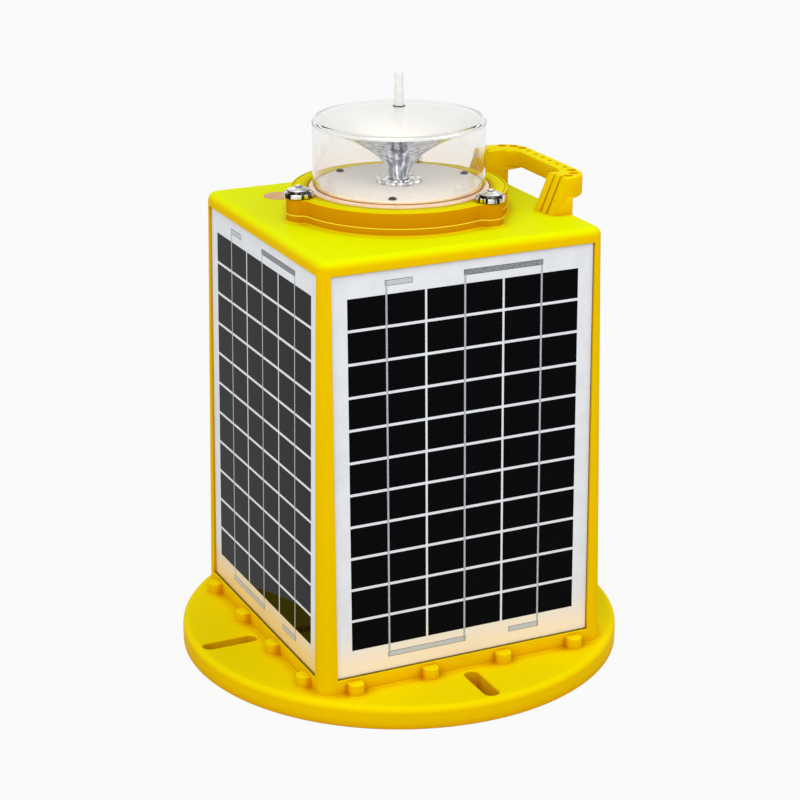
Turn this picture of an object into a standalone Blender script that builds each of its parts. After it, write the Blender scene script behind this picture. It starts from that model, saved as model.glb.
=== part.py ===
"""Solar marine lantern: a square solar housing on a round bolt-down flange, with a lamp head and a handle.

Units are metres and +Z is up. The origin is the centre of the flange's underside. The front panel
faces -Y and the handle stands on the +X edge of the roof.
"""
from math import acos, atan, atan2, cos, pi, sin, sqrt, tau

import bmesh
import bpy
from mathutils import Matrix, Vector

# Clearances, cutter overrun and mesh settings
GAP = 0.0003
OVERRUN = 0.004
MERGE_DISTANCE = 0.00001
ROUND_PROFILE = 0.5
FLAT_ANGLE = 0.001
SHARP_ANGLE = 0.6

# Flange
FLANGE_LEDGE = 0.06475
FLANGE_THICKNESS = 0.021
FLANGE_EDGE_ROUND = 0.0065
FLANGE_EDGE_STEPS = 4
FLANGE_FOOT_CHAMFER = 0.001
FLANGE_SEGMENTS = 80

# Bolt slots, one on each axis, between the screw domes and the flange's edge
SLOT_WIDTH = 0.014
SLOT_EDGE_MARGIN = 0.007
SLOT_DOME_MARGIN = 0.0025
SLOT_END_SEGMENTS = 6

# Solar panels, given on the plane of their glass
PANEL_HEIGHT = 0.3678
PANEL_BOTTOM = 0.0349
PANEL_HEAD_MARGIN = 0.03565
PANEL_CORNER_MARGIN = 0.01015
PANEL_DRAFT = 0.0058
PANEL_THICKNESS = 0.005
CELL_MARGIN_SIDE = 0.015
CELL_MARGIN_BELOW = 0.0246
CELL_MARGIN_ABOVE = 0.0213
CELL_SHEET_THICKNESS = 0.0012
CELL_GROOVE_DEPTH = 0.0005
CELL_ROW_GROOVE = 0.0025
CELL_STRING_GROOVE = 0.002
CELL_ROWS = 11
CELL_STRINGS = 3

# Housing
ROOF_MARGIN = 0.0131
BODY_CORNER_RADIUS = 0.011
BODY_CORNER_SEGMENTS = 5
ROOF_EDGE_ROUND = 0.0055
ROOF_EDGE_SEGMENTS = 3
FRAME_PROUD = 0.0026
SEAT_WALL = 0.004
ROOF_THICKNESS = 0.0045
CAVITY_CORNER_RADIUS = 0.007
CAVITY_CORNER_SEGMENTS = 2
CABLE_HOLE_RADIUS = 0.009
CABLE_HOLE_SEGMENTS = 12

# Screw domes round the foot of the housing, and the bottom cover that they hold
DOME_RADIUS = 0.007
DOME_STAND_OFF = 0.00325
DOME_RISE = 0.011
DOME_CHAMFER = 0.0012
DOME_SEGMENTS = 6
DOMES_PER_SIDE = 4
DOME_CORNER_MARGIN = 0.03145
COVER_SCREW_MARGIN = 0.009
COVER_CORNER_RADIUS = 0.052
COVER_CORNER_SEGMENTS = 5
COVER_THICKNESS = 0.004
COVER_NOTCH_CLEARANCE = 0.009
COVER_FIT = 0.0006
GASKET_THICKNESS = 0.002
GASKET_INSET = 0.001
GASKET_BAND = 0.021
GASKET_INNER_ROUND = 0.012
COVER_SCREW_RADIUS = 0.003
COVER_SCREW_LENGTH = 0.018
COVER_SCREW_HEAD_RADIUS = 0.0052
COVER_SCREW_HEAD_HEIGHT = 0.0035
COVER_SCREW_SEGMENTS = 8
COVER_SCREW_FLOOR_GAP = 0.001
SCREW_CLEARANCE = 0.0004
SCREW_TIP_GAP = 0.001

# Battery block standing on the bottom cover
BATTERY_LENGTH = 0.151
BATTERY_WIDTH = 0.098
BATTERY_HEIGHT = 0.095
BATTERY_EDGE_ROUND = 0.002

# Lamp head
HEAD_LENS_MARGIN = 0.0197
HEAD_STEPS = 9
LUG_INSET = 0.0018
LUG_RADIUS = 0.0128
LUG_STEPS = 4
LUG_FILLET = 0.008
LUG_FILLET_STEPS = 3
LUG_COUNT = 3
LUG_START = pi / LUG_COUNT
HEAD_PAD_HEIGHT = 0.0067
LAMP_BASE_HEIGHT = 0.0142
LAMP_BORE_MARGIN = 0.0058
WIRE_HOLE_RADIUS = 0.012
LENS_RADIUS = 0.0775
LENS_WALL = 0.003
LENS_FOOT_WIDTH = 0.0034
LENS_FOOT_THICKNESS = 0.004
LENS_FOOT_FILLET = 0.0015
LENS_RIM_HEIGHT = 0.0607
LENS_DOME_RISE = 0.0111
LENS_EDGE_ROUND = 0.0035
LENS_EDGE_STEPS = 4
LENS_FILLET_STEPS = 2
LENS_SEGMENTS = 48
LENS_DOME_STEPS = 4
REBATE_FIT = 0.0005
SPIGOT_RISE = 0.0017
SEAL_THICKNESS = 0.0006
BOARD_MARGIN = 0.0028
BOARD_THICKNESS = 0.002
BOARD_SCREW_INSET = 0.0059
BOARD_SCREW_RADIUS = 0.0015
BOARD_SCREW_LENGTH = 0.008
BOARD_SCREW_HEAD_RADIUS = 0.0036
BOARD_SCREW_HEAD_HEIGHT = 0.0016
BOARD_SCREW_CROWN_SHARE = 0.7
BOARD_SCREW_COUNT = 3
BOARD_SCREW_SEGMENTS = 10

# Reflector and its LED ring
REFLECTOR_HEIGHT = 0.0525
REFLECTOR_MARGIN = 0.0017
REFLECTOR_FOOT_RADIUS = 0.0084
REFLECTOR_CURVE = 2.2
REFLECTOR_SHELL = 0.0016
REFLECTOR_BOWL_SHARE = 0.45
REFLECTOR_STEPS = 11
REFLECTOR_SEGMENTS = 40
REFLECTOR_SHARP_ANGLE = 0.9
LED_RING_RADIUS = 0.0212
LED_RING_HEIGHT = 0.0035
LED_RING_LOBES = 8
LED_RING_LOBE_DEPTH = 0.0022
LED_RING_SEGMENTS = 48
LED_RING_FIT = 0.0012
LED_RING_HOLE_SEGMENTS = 24

# Clamp bolts of the lamp head
BOLT_RADIUS = 0.006
BOLT_DEPTH = 0.017
BOLT_SEGMENTS = 12
BOLT_OUTSET = 0.002
WASHER_RADIUS = 0.0132
WASHER_THICKNESS = 0.004
WASHER_SEGMENTS = 24
WASHER_CHAMFER = 0.0006
NUT_CORNER_RADIUS = 0.0096
NUT_SIDES = 6
NUT_HEIGHT = 0.0012
CAP_RADIUS = 0.0101
CAP_RIM = 0.0009
CAP_CONE_HEIGHT = 0.0024
CAP_SEGMENTS = 24
BUTTON_RADIUS = 0.0024
BUTTON_HEIGHT = 0.0012
BUTTON_ROUND = 0.0005

# Bird spike
SPIKE_FOOT_RADIUS = 0.0043
SPIKE_TIP_RADIUS = 0.0037
SPIKE_LENGTH = 0.0308
SPIKE_TIP_ROUND = 0.0006
SPIKE_SEGMENTS = 16

# Light sensor window in the roof
SENSOR_HEAD_MARGIN = 0.02135
SENSOR_TURN = 0.742 * pi
SENSOR_RADIUS = 0.0138
SENSOR_THICKNESS = 0.0024
SENSOR_SEGMENTS = 24

# Handle, given from the wall's top edge and from the middle of its grip
HANDLE_MIDDLE_Y = -0.012
HANDLE_HALF_LENGTH = 0.072
HANDLE_ARM_WIDTH = 0.026
HANDLE_OVERHANG = 0.01555
HANDLE_OUTER_ROUND = 0.025
HANDLE_GRIP_WIDTH = 0.016
HANDLE_INNER_ROUND = 0.011
HANDLE_FOOT_INSET = 0.003
HANDLE_FOOT_LENGTH = 0.0275
HANDLE_REAR_EXTRA = 0.012
HANDLE_FOOT_ROUND = 0.01
HANDLE_FOOT_EDGE_ROUND = 0.003
HANDLE_TIP_SLANT = 0.0046
HANDLE_TIP_LEAN = 0.0153
HANDLE_HEIGHT = 0.0332
HANDLE_OPENING_HEIGHT = 0.0187
HANDLE_COVE_HEIGHT = 0.0045
HANDLE_COVE_STEPS = 4
HANDLE_ROUND_SEGMENTS = 5
HANDLE_EDGE_ROUND = 0.0025
HANDLE_EDGE_STEPS = 2
TIP_GROOVES = 2
TIP_GROOVE_WIDTH = 0.0025
TIP_GROOVE_DEPTH = 0.0035
RECESS_DEPTH = 0.003
RECESS_SEGMENTS = 8
GRIP_RECESS_COUNT = 6
GRIP_RECESS_PITCH = 0.0137
GRIP_RECESS_RADIUS = 0.00225
BEND_RECESS_RADIUS = 0.0045
BEND_RECESS_COUNT = 3
BEND_RECESS_SWEEP = 1.3

# Sizes and heights that follow from those above
HEAD_RADIUS = LENS_RADIUS + HEAD_LENS_MARGIN
LUG_CENTRE_RADIUS = HEAD_RADIUS - LUG_INSET
BOLT_CIRCLE = LUG_CENTRE_RADIUS + BOLT_OUTSET
LENS_FOOT_RADIUS = LENS_RADIUS + LENS_FOOT_WIDTH
BOARD_RADIUS = LENS_RADIUS - LENS_WALL - BOARD_MARGIN
BOARD_SCREW_CIRCLE = BOARD_RADIUS - BOARD_SCREW_INSET
LAMP_BORE_RADIUS = BOARD_SCREW_CIRCLE - LAMP_BORE_MARGIN
REFLECTOR_RADIUS = LENS_RADIUS - LENS_WALL - REFLECTOR_MARGIN
SENSOR_CIRCLE = HEAD_RADIUS + SENSOR_HEAD_MARGIN
PANEL_TOP_REACH = HEAD_RADIUS + PANEL_HEAD_MARGIN
FOOT_REACH = PANEL_TOP_REACH + PANEL_DRAFT + FRAME_PROUD
DOME_REACH = FOOT_REACH + DOME_STAND_OFF
DOME_SPACING = 2 * (FOOT_REACH - DOME_CORNER_MARGIN) / (DOMES_PER_SIDE - 1)
FLANGE_RADIUS = FOOT_REACH + FLANGE_LEDGE
SLOT_INNER_END = DOME_REACH + SLOT_DOME_MARGIN
SLOT_OUTER_END = FLANGE_RADIUS - SLOT_EDGE_MARGIN
COVER_HALF_WIDTH = DOME_REACH + COVER_SCREW_MARGIN
PANEL_WIDTH = 2 * (PANEL_TOP_REACH + FRAME_PROUD - PANEL_CORNER_MARGIN)
CELL_FIELD_WIDTH = PANEL_WIDTH - 2 * CELL_MARGIN_SIDE
CELL_FIELD_HEIGHT = PANEL_HEIGHT - CELL_MARGIN_BELOW - CELL_MARGIN_ABOVE
BODY_TOP = PANEL_BOTTOM + PANEL_HEIGHT + ROOF_MARGIN
COVER_RECESS = GASKET_THICKNESS + COVER_THICKNESS + COVER_SCREW_HEAD_HEIGHT + COVER_SCREW_FLOOR_GAP
HEAD_PAD_TOP = BODY_TOP + HEAD_PAD_HEIGHT
LAMP_BASE_BOTTOM = HEAD_PAD_TOP + GAP
LAMP_BASE_TOP = LAMP_BASE_BOTTOM + LAMP_BASE_HEIGHT
LENS_FOOT_TOP = LAMP_BASE_TOP + GAP
LENS_FOOT_BOTTOM = LENS_FOOT_TOP - LENS_FOOT_THICKNESS
LENS_RIM_TOP = LENS_FOOT_TOP + LENS_RIM_HEIGHT
LENS_APEX = LENS_RIM_TOP + LENS_DOME_RISE
SPIGOT_TOP = LAMP_BASE_TOP + SPIGOT_RISE
SPIGOT_RADIUS = LENS_RADIUS - LENS_WALL - REBATE_FIT
BOARD_BOTTOM = SPIGOT_TOP + GAP
BOARD_TOP = BOARD_BOTTOM + BOARD_THICKNESS
WASHER_BOTTOM = LENS_FOOT_TOP + GAP
NUT_BOTTOM = WASHER_BOTTOM + WASHER_THICKNESS + GAP

# The four faces, by quarter turns from the front
FACES = ("front", "right", "back", "left")


def clear_scene():
    """Remove every object, so the script starts from nothing."""
    for obj in list(bpy.data.objects):
        bpy.data.objects.remove(obj, do_unlink=True)


def collection(name):
    """A collection of that name under the scene."""
    made = bpy.data.collections.new(name)
    bpy.context.scene.collection.children.link(made)
    return made


def material(name, colour, roughness, metallic=0.0, transmission=0.0):
    """A Principled material from a linear colour, a roughness and a metallic value."""
    made = bpy.data.materials.new(name)
    made.use_nodes = True
    made.diffuse_color = (*colour, 1.0)
    shader = made.node_tree.nodes["Principled BSDF"]
    shader.inputs["Base Color"].default_value = (*colour, 1.0)
    shader.inputs["Roughness"].default_value = roughness
    shader.inputs["Metallic"].default_value = metallic
    shader.inputs["Transmission Weight"].default_value = transmission
    return made


def new_object(name, mesh, folder):
    """An object that holds the mesh, in one collection."""
    obj = bpy.data.objects.new(name, mesh)
    folder.objects.link(obj)
    return obj


def mesh_from_bmesh(name, shape):
    """Turn a bmesh into a mesh with its faces pointing out."""
    bmesh.ops.recalc_face_normals(shape, faces=shape.faces)
    mesh = bpy.data.meshes.new(name)
    shape.to_mesh(mesh)
    shape.free()
    return mesh


def evaluated_mesh(obj):
    """The object's mesh with its modifiers or curve settings applied."""
    graph = bpy.context.evaluated_depsgraph_get()
    return bpy.data.meshes.new_from_object(obj.evaluated_get(graph), depsgraph=graph)


def plate(name, outlines, low, high, folder):
    """A flat plate between two heights from closed outlines, the first outside and the rest holes."""
    flat = bpy.data.curves.new(name, "CURVE")
    flat.dimensions = "2D"
    flat.fill_mode = "BOTH"
    flat.extrude = (high - low) / 2
    for outline in outlines:
        spline = flat.splines.new("POLY")
        spline.points.add(len(outline) - 1)
        for point, (x, y) in zip(spline.points, outline):
            point.co = (x, y, 0.0, 1.0)
        spline.use_cyclic_u = True
    guide = new_object(name, flat, folder)
    bpy.context.view_layer.update()
    shape = bmesh.new()
    shape.from_mesh(evaluated_mesh(guide))
    bpy.data.objects.remove(guide)
    bmesh.ops.remove_doubles(shape, verts=shape.verts, dist=MERGE_DISTANCE)
    bmesh.ops.translate(shape, verts=shape.verts, vec=(0.0, 0.0, (high + low) / 2))
    return new_object(name, mesh_from_bmesh(name, shape), folder)


def turned(name, profile, segments, folder, closed=False):
    """A turned solid: the profile of (radius, height) points runs down its outer side."""
    mesh = bpy.data.meshes.new(name)
    count = len(profile)
    edges = [(index, index + 1) for index in range(count - 1)]
    if closed:
        edges.append((count - 1, 0))
    mesh.from_pydata([(radius, 0.0, height) for radius, height in profile], edges, [])
    obj = new_object(name, mesh, folder)
    screw = obj.modifiers.new("turn", "SCREW")
    screw.angle = tau
    screw.steps = segments
    screw.render_steps = segments
    screw.use_merge_vertices = True
    screw.merge_threshold = MERGE_DISTANCE
    return obj


def arc(centre, radius, start, end, steps):
    """Points on an arc, both ends included."""
    return [(centre[0] + radius * cos(start + (end - start) * step / steps),
             centre[1] + radius * sin(start + (end - start) * step / steps)) for step in range(steps + 1)]


def circle(centre, radius, segments):
    """A closed ring of points."""
    return arc(centre, radius, 0.0, tau, segments)[:-1]


def capsule(length, width, steps):
    """The outline of a slot with round ends, centred and along X."""
    radius = width / 2
    reach = length / 2 - radius
    return (arc((reach, 0.0), radius, -pi / 2, pi / 2, steps)
            + arc((-reach, 0.0), radius, pi / 2, 3 * pi / 2, steps))


def boolean(obj, tool, operation, name):
    """Cut with, or join, another object."""
    step = obj.modifiers.new(name, "BOOLEAN")
    step.operation = operation
    step.solver = "EXACT"
    step.object = tool


def joined(name, sources, folder):
    """One object from several that do not touch, each taken with its own placing."""
    shape = bmesh.new()
    bpy.context.view_layer.update()
    for source in sources:
        mesh = evaluated_mesh(source)
        mesh.transform(source.matrix_world)
        shape.from_mesh(mesh)
        bpy.data.objects.remove(source)
    return new_object(name, mesh_from_bmesh(name, shape), folder)


def hide_tool(obj):
    """Mark an object as a cutter or an added form that is not a piece of its own."""
    obj.hide_render = True
    obj.display_type = "WIRE"


def finish(obj, surface, smooth_angle=SHARP_ANGLE):
    """Give the piece its material and shade its round faces smooth."""
    if obj.modifiers:
        bpy.context.view_layer.update()
        mesh = evaluated_mesh(obj)
        obj.modifiers.clear()
        obj.data = mesh
    obj.data.materials.clear()
    obj.data.materials.append(surface)
    obj.data.shade_smooth()
    obj.data.set_sharp_from_angle(angle=smooth_angle)
    return obj


def turned_about_z(angle):
    """A rotation about the lantern's axis."""
    return Matrix.Rotation(angle, 4, "Z")


def quarter_turn(face):
    """The turn that takes the front face to one of the four faces."""
    return turned_about_z(face * pi / 2)


def panel_reach(height):
    """How far the panels' glass plane lies from the axis at a height."""
    top = PANEL_BOTTOM + PANEL_HEIGHT
    return PANEL_TOP_REACH + (top - height) * PANEL_DRAFT / PANEL_HEIGHT


def body_reach(height):
    """How far the housing's outer wall lies from the axis at a height."""
    return panel_reach(height) + FRAME_PROUD


def face_placing(face):
    """Placing of a panel: X runs across it, Y up its slope and Z out of its glass."""
    middle = PANEL_BOTTOM + PANEL_HEIGHT / 2
    lean = atan(PANEL_DRAFT / PANEL_HEIGHT)
    upright = Matrix.Translation((0.0, -panel_reach(middle), middle)) @ Matrix.Rotation(pi / 2 - lean, 4, "X")
    return quarter_turn(face) @ upright


def block(name, size, centre, folder, edge_round=0.0, segments=2):
    """A box of that size about a centre, with its edges rounded if asked."""
    shape = bmesh.new()
    bmesh.ops.create_cube(shape, size=1.0)
    bmesh.ops.scale(shape, vec=Vector(size), verts=shape.verts)
    bmesh.ops.translate(shape, vec=Vector(centre), verts=shape.verts)
    if edge_round:
        bmesh.ops.bevel(shape, geom=list(shape.edges), offset=edge_round, segments=segments,
                        profile=ROUND_PROFILE, affect="EDGES", clamp_overlap=True)
    return new_object(name, mesh_from_bmesh(name, shape), folder)


def tapered_block(name, low, high, reach, corner, corner_steps, edge, edge_steps, folder):
    """A square block that narrows upwards, its reach read from a function of the height."""
    shape = bmesh.new()
    bmesh.ops.create_cube(shape, size=2.0)
    for vertex in shape.verts:
        height = high if vertex.co.z > 0 else low
        vertex.co = Vector((vertex.co.x * reach(height), vertex.co.y * reach(height), height))
    upright = [side for side in shape.edges if abs(side.verts[0].co.z - side.verts[1].co.z) > (high - low) / 2]
    bmesh.ops.bevel(shape, geom=upright, offset=corner, segments=corner_steps, profile=ROUND_PROFILE,
                    affect="EDGES")
    if edge:
        rim = [side for side in shape.edges if all(abs(end.co.z - high) < edge / 2 for end in side.verts)]
        bmesh.ops.bevel(shape, geom=rim, offset=edge, segments=edge_steps, profile=ROUND_PROFILE, affect="EDGES")
    return new_object(name, mesh_from_bmesh(name, shape), folder)


def round_rim(obj, top, size, steps, wanted):
    """Round the upper rim of a plate wherever the test on an edge's end points holds."""
    shape = bmesh.new()
    shape.from_mesh(obj.data)
    bmesh.ops.dissolve_limit(shape, angle_limit=FLAT_ANGLE, verts=shape.verts, edges=shape.edges)
    rim = [side for side in shape.edges
           if all(abs(end.co.z - top) < MERGE_DISTANCE and wanted(end.co) for end in side.verts)
           and any(abs(face.normal.z) < ROUND_PROFILE for face in side.link_faces)]
    bmesh.ops.bevel(shape, geom=rim, offset=size, segments=steps, profile=ROUND_PROFILE, affect="EDGES")
    shape.to_mesh(obj.data)
    shape.free()


def dome_places():
    """Along each side, where the screw domes stand: (face, distance along the face)."""
    first = -(DOMES_PER_SIDE - 1) / 2 * DOME_SPACING
    return [(face, first + index * DOME_SPACING) for face in range(len(FACES)) for index in range(DOMES_PER_SIDE)]


def cover_outline(inset):
    """The bottom cover's square outline with round corners and a notch clear of each bolt slot."""
    half = COVER_HALF_WIDTH - inset
    corner = COVER_CORNER_RADIUS - inset
    notch = SLOT_WIDTH / 2 + COVER_NOTCH_CLEARANCE + inset
    floor = SLOT_INNER_END - COVER_NOTCH_CLEARANCE - inset
    points = []
    for face in range(len(FACES)):
        side = [(-notch, -half), (-notch, -floor), (notch, -floor), (notch, -half)]
        side += arc((half - corner, corner - half), corner, -pi / 2, 0.0, COVER_CORNER_SEGMENTS)
        turn = quarter_turn(face)
        points += [tuple((turn @ Vector((x, y, 0.0)))[:2]) for x, y in side]
    return points


def screw_holes():
    """The ring of each cover screw's hole, for the cover and its gasket."""
    rings = []
    for face, along in dome_places():
        centre = quarter_turn(face) @ Vector((along, -DOME_REACH, 0.0))
        rings.append(circle((centre.x, centre.y), COVER_SCREW_RADIUS + SCREW_CLEARANCE, COVER_SCREW_SEGMENTS))
    return rings


def lug_angles():
    """Directions of the lamp head's lugs."""
    return [LUG_START + index * tau / LUG_COUNT for index in range(LUG_COUNT)]


def head_outline():
    """The lamp head's round outline, swelling into its clamp lugs through a fillet on each side.

    Half a lug is an arc of the lug, an arc of the fillet, whose centre lies one fillet outside both
    circles, and an arc of the ring. Its mirror image completes the lug, and turns make the others.
    """
    apart = HEAD_RADIUS + LUG_FILLET
    turn = acos((apart ** 2 + LUG_CENTRE_RADIUS ** 2 - (LUG_RADIUS + LUG_FILLET) ** 2)
                / (2 * LUG_CENTRE_RADIUS * apart))
    hollow = (apart * cos(turn), apart * sin(turn))
    lean = atan2(hollow[1], hollow[0] - LUG_CENTRE_RADIUS)
    half = arc((LUG_CENTRE_RADIUS, 0.0), LUG_RADIUS, 0.0, lean, LUG_STEPS)
    half += arc(hollow, LUG_FILLET, pi + lean, pi + turn, LUG_FILLET_STEPS)[1:]
    half += arc((0.0, 0.0), HEAD_RADIUS, turn, pi / LUG_COUNT, HEAD_STEPS)[1:]
    sector = [(x, -y) for x, y in reversed(half[1:])] + half[:-1]
    return [(x * cos(lug) - y * sin(lug), x * sin(lug) + y * cos(lug)) for lug in lug_angles() for x, y in sector]


def bolt_places():
    """Centres of the clamp bolts, a little outside the centres of their lugs."""
    return [(BOLT_CIRCLE * cos(angle), BOLT_CIRCLE * sin(angle)) for angle in lug_angles()]


def sensor_place():
    """Centre of the light sensor's window, beside the lamp head."""
    return SENSOR_CIRCLE * cos(SENSOR_TURN), SENSOR_CIRCLE * sin(SENSOR_TURN)


def board_screw_places():
    """Centres of the LED board's screws."""
    return [(BOARD_SCREW_CIRCLE * cos(tau * index / BOARD_SCREW_COUNT),
             BOARD_SCREW_CIRCLE * sin(tau * index / BOARD_SCREW_COUNT)) for index in range(BOARD_SCREW_COUNT)]


def make_flange(tools):
    """The round flange: its profile runs from the middle of its top over the edge to its underside."""
    inner = FLANGE_RADIUS - FLANGE_EDGE_ROUND
    edge = arc((inner, FLANGE_THICKNESS - FLANGE_EDGE_ROUND), FLANGE_EDGE_ROUND, pi / 2, 0.0,
               FLANGE_EDGE_STEPS)
    profile = [(0.0, FLANGE_THICKNESS)] + edge
    profile += [(FLANGE_RADIUS, FLANGE_FOOT_CHAMFER), (FLANGE_RADIUS - FLANGE_FOOT_CHAMFER, 0.0), (0.0, 0.0)]
    return turned("housing", profile, FLANGE_SEGMENTS, tools)


def make_screw_domes(tools):
    """Blind domes that take the cover screws, each a round nose on a short web from the wall."""
    top = FLANGE_THICKNESS + DOME_RISE
    wall = body_reach(top) - FRAME_PROUD - PANEL_THICKNESS
    domes = []
    for face, along in dome_places():
        nose = arc((along, -DOME_REACH), DOME_RADIUS, pi, tau, DOME_SEGMENTS)
        outline = nose + [(along + DOME_RADIUS, -wall), (along - DOME_RADIUS, -wall)]
        dome = plate("dome", [outline], FLANGE_THICKNESS / 2, top, tools)
        nose_low = -DOME_REACH + DOME_CHAMFER
        round_rim(dome, top, DOME_CHAMFER, 1, lambda place: place.y < nose_low)
        dome.matrix_world = quarter_turn(face)
        domes.append(dome)
    return joined("screw_domes", domes, tools)


def make_housing(parts, tools, surface):
    """Flange, hollow body, screw domes and lamp pad in one moulding, open below."""
    housing = make_flange(parts)
    body = tapered_block("body_form", FLANGE_THICKNESS / 2, BODY_TOP, body_reach, BODY_CORNER_RADIUS,
                         BODY_CORNER_SEGMENTS, ROOF_EDGE_ROUND, ROOF_EDGE_SEGMENTS, tools)
    pad = plate("lamp_pad_form", [head_outline()], BODY_TOP - ROOF_THICKNESS / 2, HEAD_PAD_TOP, tools)
    boolean(housing, body, "UNION", "body")
    boolean(housing, make_screw_domes(tools), "UNION", "screw domes")
    boolean(housing, pad, "UNION", "lamp pad")

    behind_seat = FRAME_PROUD + PANEL_THICKNESS + GAP + SEAT_WALL
    cavity = tapered_block("cavity", -OVERRUN, BODY_TOP - ROOF_THICKNESS,
                           lambda height: body_reach(height) - behind_seat, CAVITY_CORNER_RADIUS,
                           CAVITY_CORNER_SEGMENTS, 0.0, 0, tools)
    recess = plate("cover_recess", [cover_outline(-COVER_FIT)], -OVERRUN, COVER_RECESS, tools)
    boolean(housing, cavity, "DIFFERENCE", "cavity")
    boolean(housing, recess, "DIFFERENCE", "cover recess")

    pockets = []
    cable_holes = []
    for face in range(len(FACES)):
        size = (PANEL_WIDTH + 2 * GAP, PANEL_HEIGHT + 2 * GAP, PANEL_THICKNESS + GAP + FRAME_PROUD + OVERRUN)
        centre = (0.0, 0.0, size[2] / 2 - PANEL_THICKNESS - GAP)
        pocket = block("pocket", size, centre, tools)
        pocket.matrix_world = face_placing(face)
        pockets.append(pocket)
        hole = plate("hole", [circle((0.0, 0.0), CABLE_HOLE_RADIUS, CABLE_HOLE_SEGMENTS)],
                     -behind_seat - OVERRUN, 0.0, tools)
        hole.matrix_world = face_placing(face)
        cable_holes.append(hole)
    boolean(housing, joined("panel_pockets", pockets, tools), "DIFFERENCE", "panel pockets")
    boolean(housing, joined("cable_holes", cable_holes, tools), "DIFFERENCE", "cable holes")

    slots = []
    middle = (SLOT_INNER_END + SLOT_OUTER_END) / 2
    for face in range(len(FACES)):
        slot = plate("slot", [capsule(SLOT_OUTER_END - SLOT_INNER_END, SLOT_WIDTH, SLOT_END_SEGMENTS)],
                     -OVERRUN, FLANGE_THICKNESS + OVERRUN, tools)
        slot.matrix_world = quarter_turn(face) @ Matrix.Translation((middle, 0.0, 0.0))
        slots.append(slot)
    boolean(housing, joined("bolt_slots", slots, tools), "DIFFERENCE", "bolt slots")

    depth = COVER_SCREW_LENGTH - COVER_THICKNESS - GASKET_THICKNESS + SCREW_TIP_GAP
    bores = [plate("bore", [ring], COVER_RECESS - OVERRUN, COVER_RECESS + depth, tools) for ring in screw_holes()]
    bores += [plate("bore", [circle(place, BOLT_RADIUS + SCREW_CLEARANCE, BOLT_SEGMENTS)],
                    WASHER_BOTTOM - BOLT_DEPTH - SCREW_TIP_GAP, HEAD_PAD_TOP + OVERRUN, tools)
              for place in bolt_places()]
    bores.append(plate("bore", [circle((0.0, 0.0), WIRE_HOLE_RADIUS, CABLE_HOLE_SEGMENTS)],
                       BODY_TOP - ROOF_THICKNESS - OVERRUN, HEAD_PAD_TOP + OVERRUN, tools))
    bores.append(plate("bore", [circle(sensor_place(), SENSOR_RADIUS + GAP, SENSOR_SEGMENTS)],
                       BODY_TOP - SENSOR_THICKNESS - GAP, BODY_TOP + OVERRUN, tools))
    boolean(housing, joined("bores", bores, tools), "DIFFERENCE", "bores")
    return finish(housing, surface)


def make_bottom(parts, surfaces):
    """The bottom cover with its gasket and screws, and the battery that stands on it."""
    roof = COVER_RECESS
    gasket_low = roof - GAP - GASKET_THICKNESS
    cover_top = gasket_low - GAP
    cover_low = cover_top - COVER_THICKNESS
    cover = plate("bottom_cover", [cover_outline(0.0)] + screw_holes(), cover_low, cover_top, parts)
    finish(cover, surfaces["housing"])

    inner = rounded_square(COVER_HALF_WIDTH - GASKET_BAND, GASKET_INNER_ROUND)
    gasket = plate("cover_gasket", [cover_outline(GASKET_INSET), inner] + screw_holes(), gasket_low,
                   gasket_low + GASKET_THICKNESS, parts)
    finish(gasket, surfaces["gasket"])

    head_top = cover_low - GAP
    head_low = head_top - COVER_SCREW_HEAD_HEIGHT
    profile = [(0.0, head_top + COVER_SCREW_LENGTH), (COVER_SCREW_RADIUS, head_top + COVER_SCREW_LENGTH),
               (COVER_SCREW_RADIUS, head_top), (COVER_SCREW_HEAD_RADIUS, head_top),
               (COVER_SCREW_HEAD_RADIUS, head_low), (0.0, head_low)]
    for number, (face, along) in enumerate(dome_places(), 1):
        screw = turned(f"cover_screw_{number:02d}", profile, COVER_SCREW_SEGMENTS, parts)
        finish(screw, surfaces["steel"])
        screw.matrix_world = quarter_turn(face) @ Matrix.Translation((along, -DOME_REACH, 0.0))

    battery = block("battery", (BATTERY_LENGTH, BATTERY_WIDTH, BATTERY_HEIGHT),
                    (0.0, 0.0, cover_top + GAP + BATTERY_HEIGHT / 2), parts, BATTERY_EDGE_ROUND)
    finish(battery, surfaces["battery"])


def rounded_square(half, corner):
    """A square outline with round corners."""
    points = []
    for face in range(len(FACES)):
        turn = quarter_turn(face)
        side = arc((half - corner, corner - half), corner, -pi / 2, 0.0, COVER_CORNER_SEGMENTS)
        points += [tuple((turn @ Vector((x, y, 0.0)))[:2]) for x, y in side]
    return points


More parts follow.
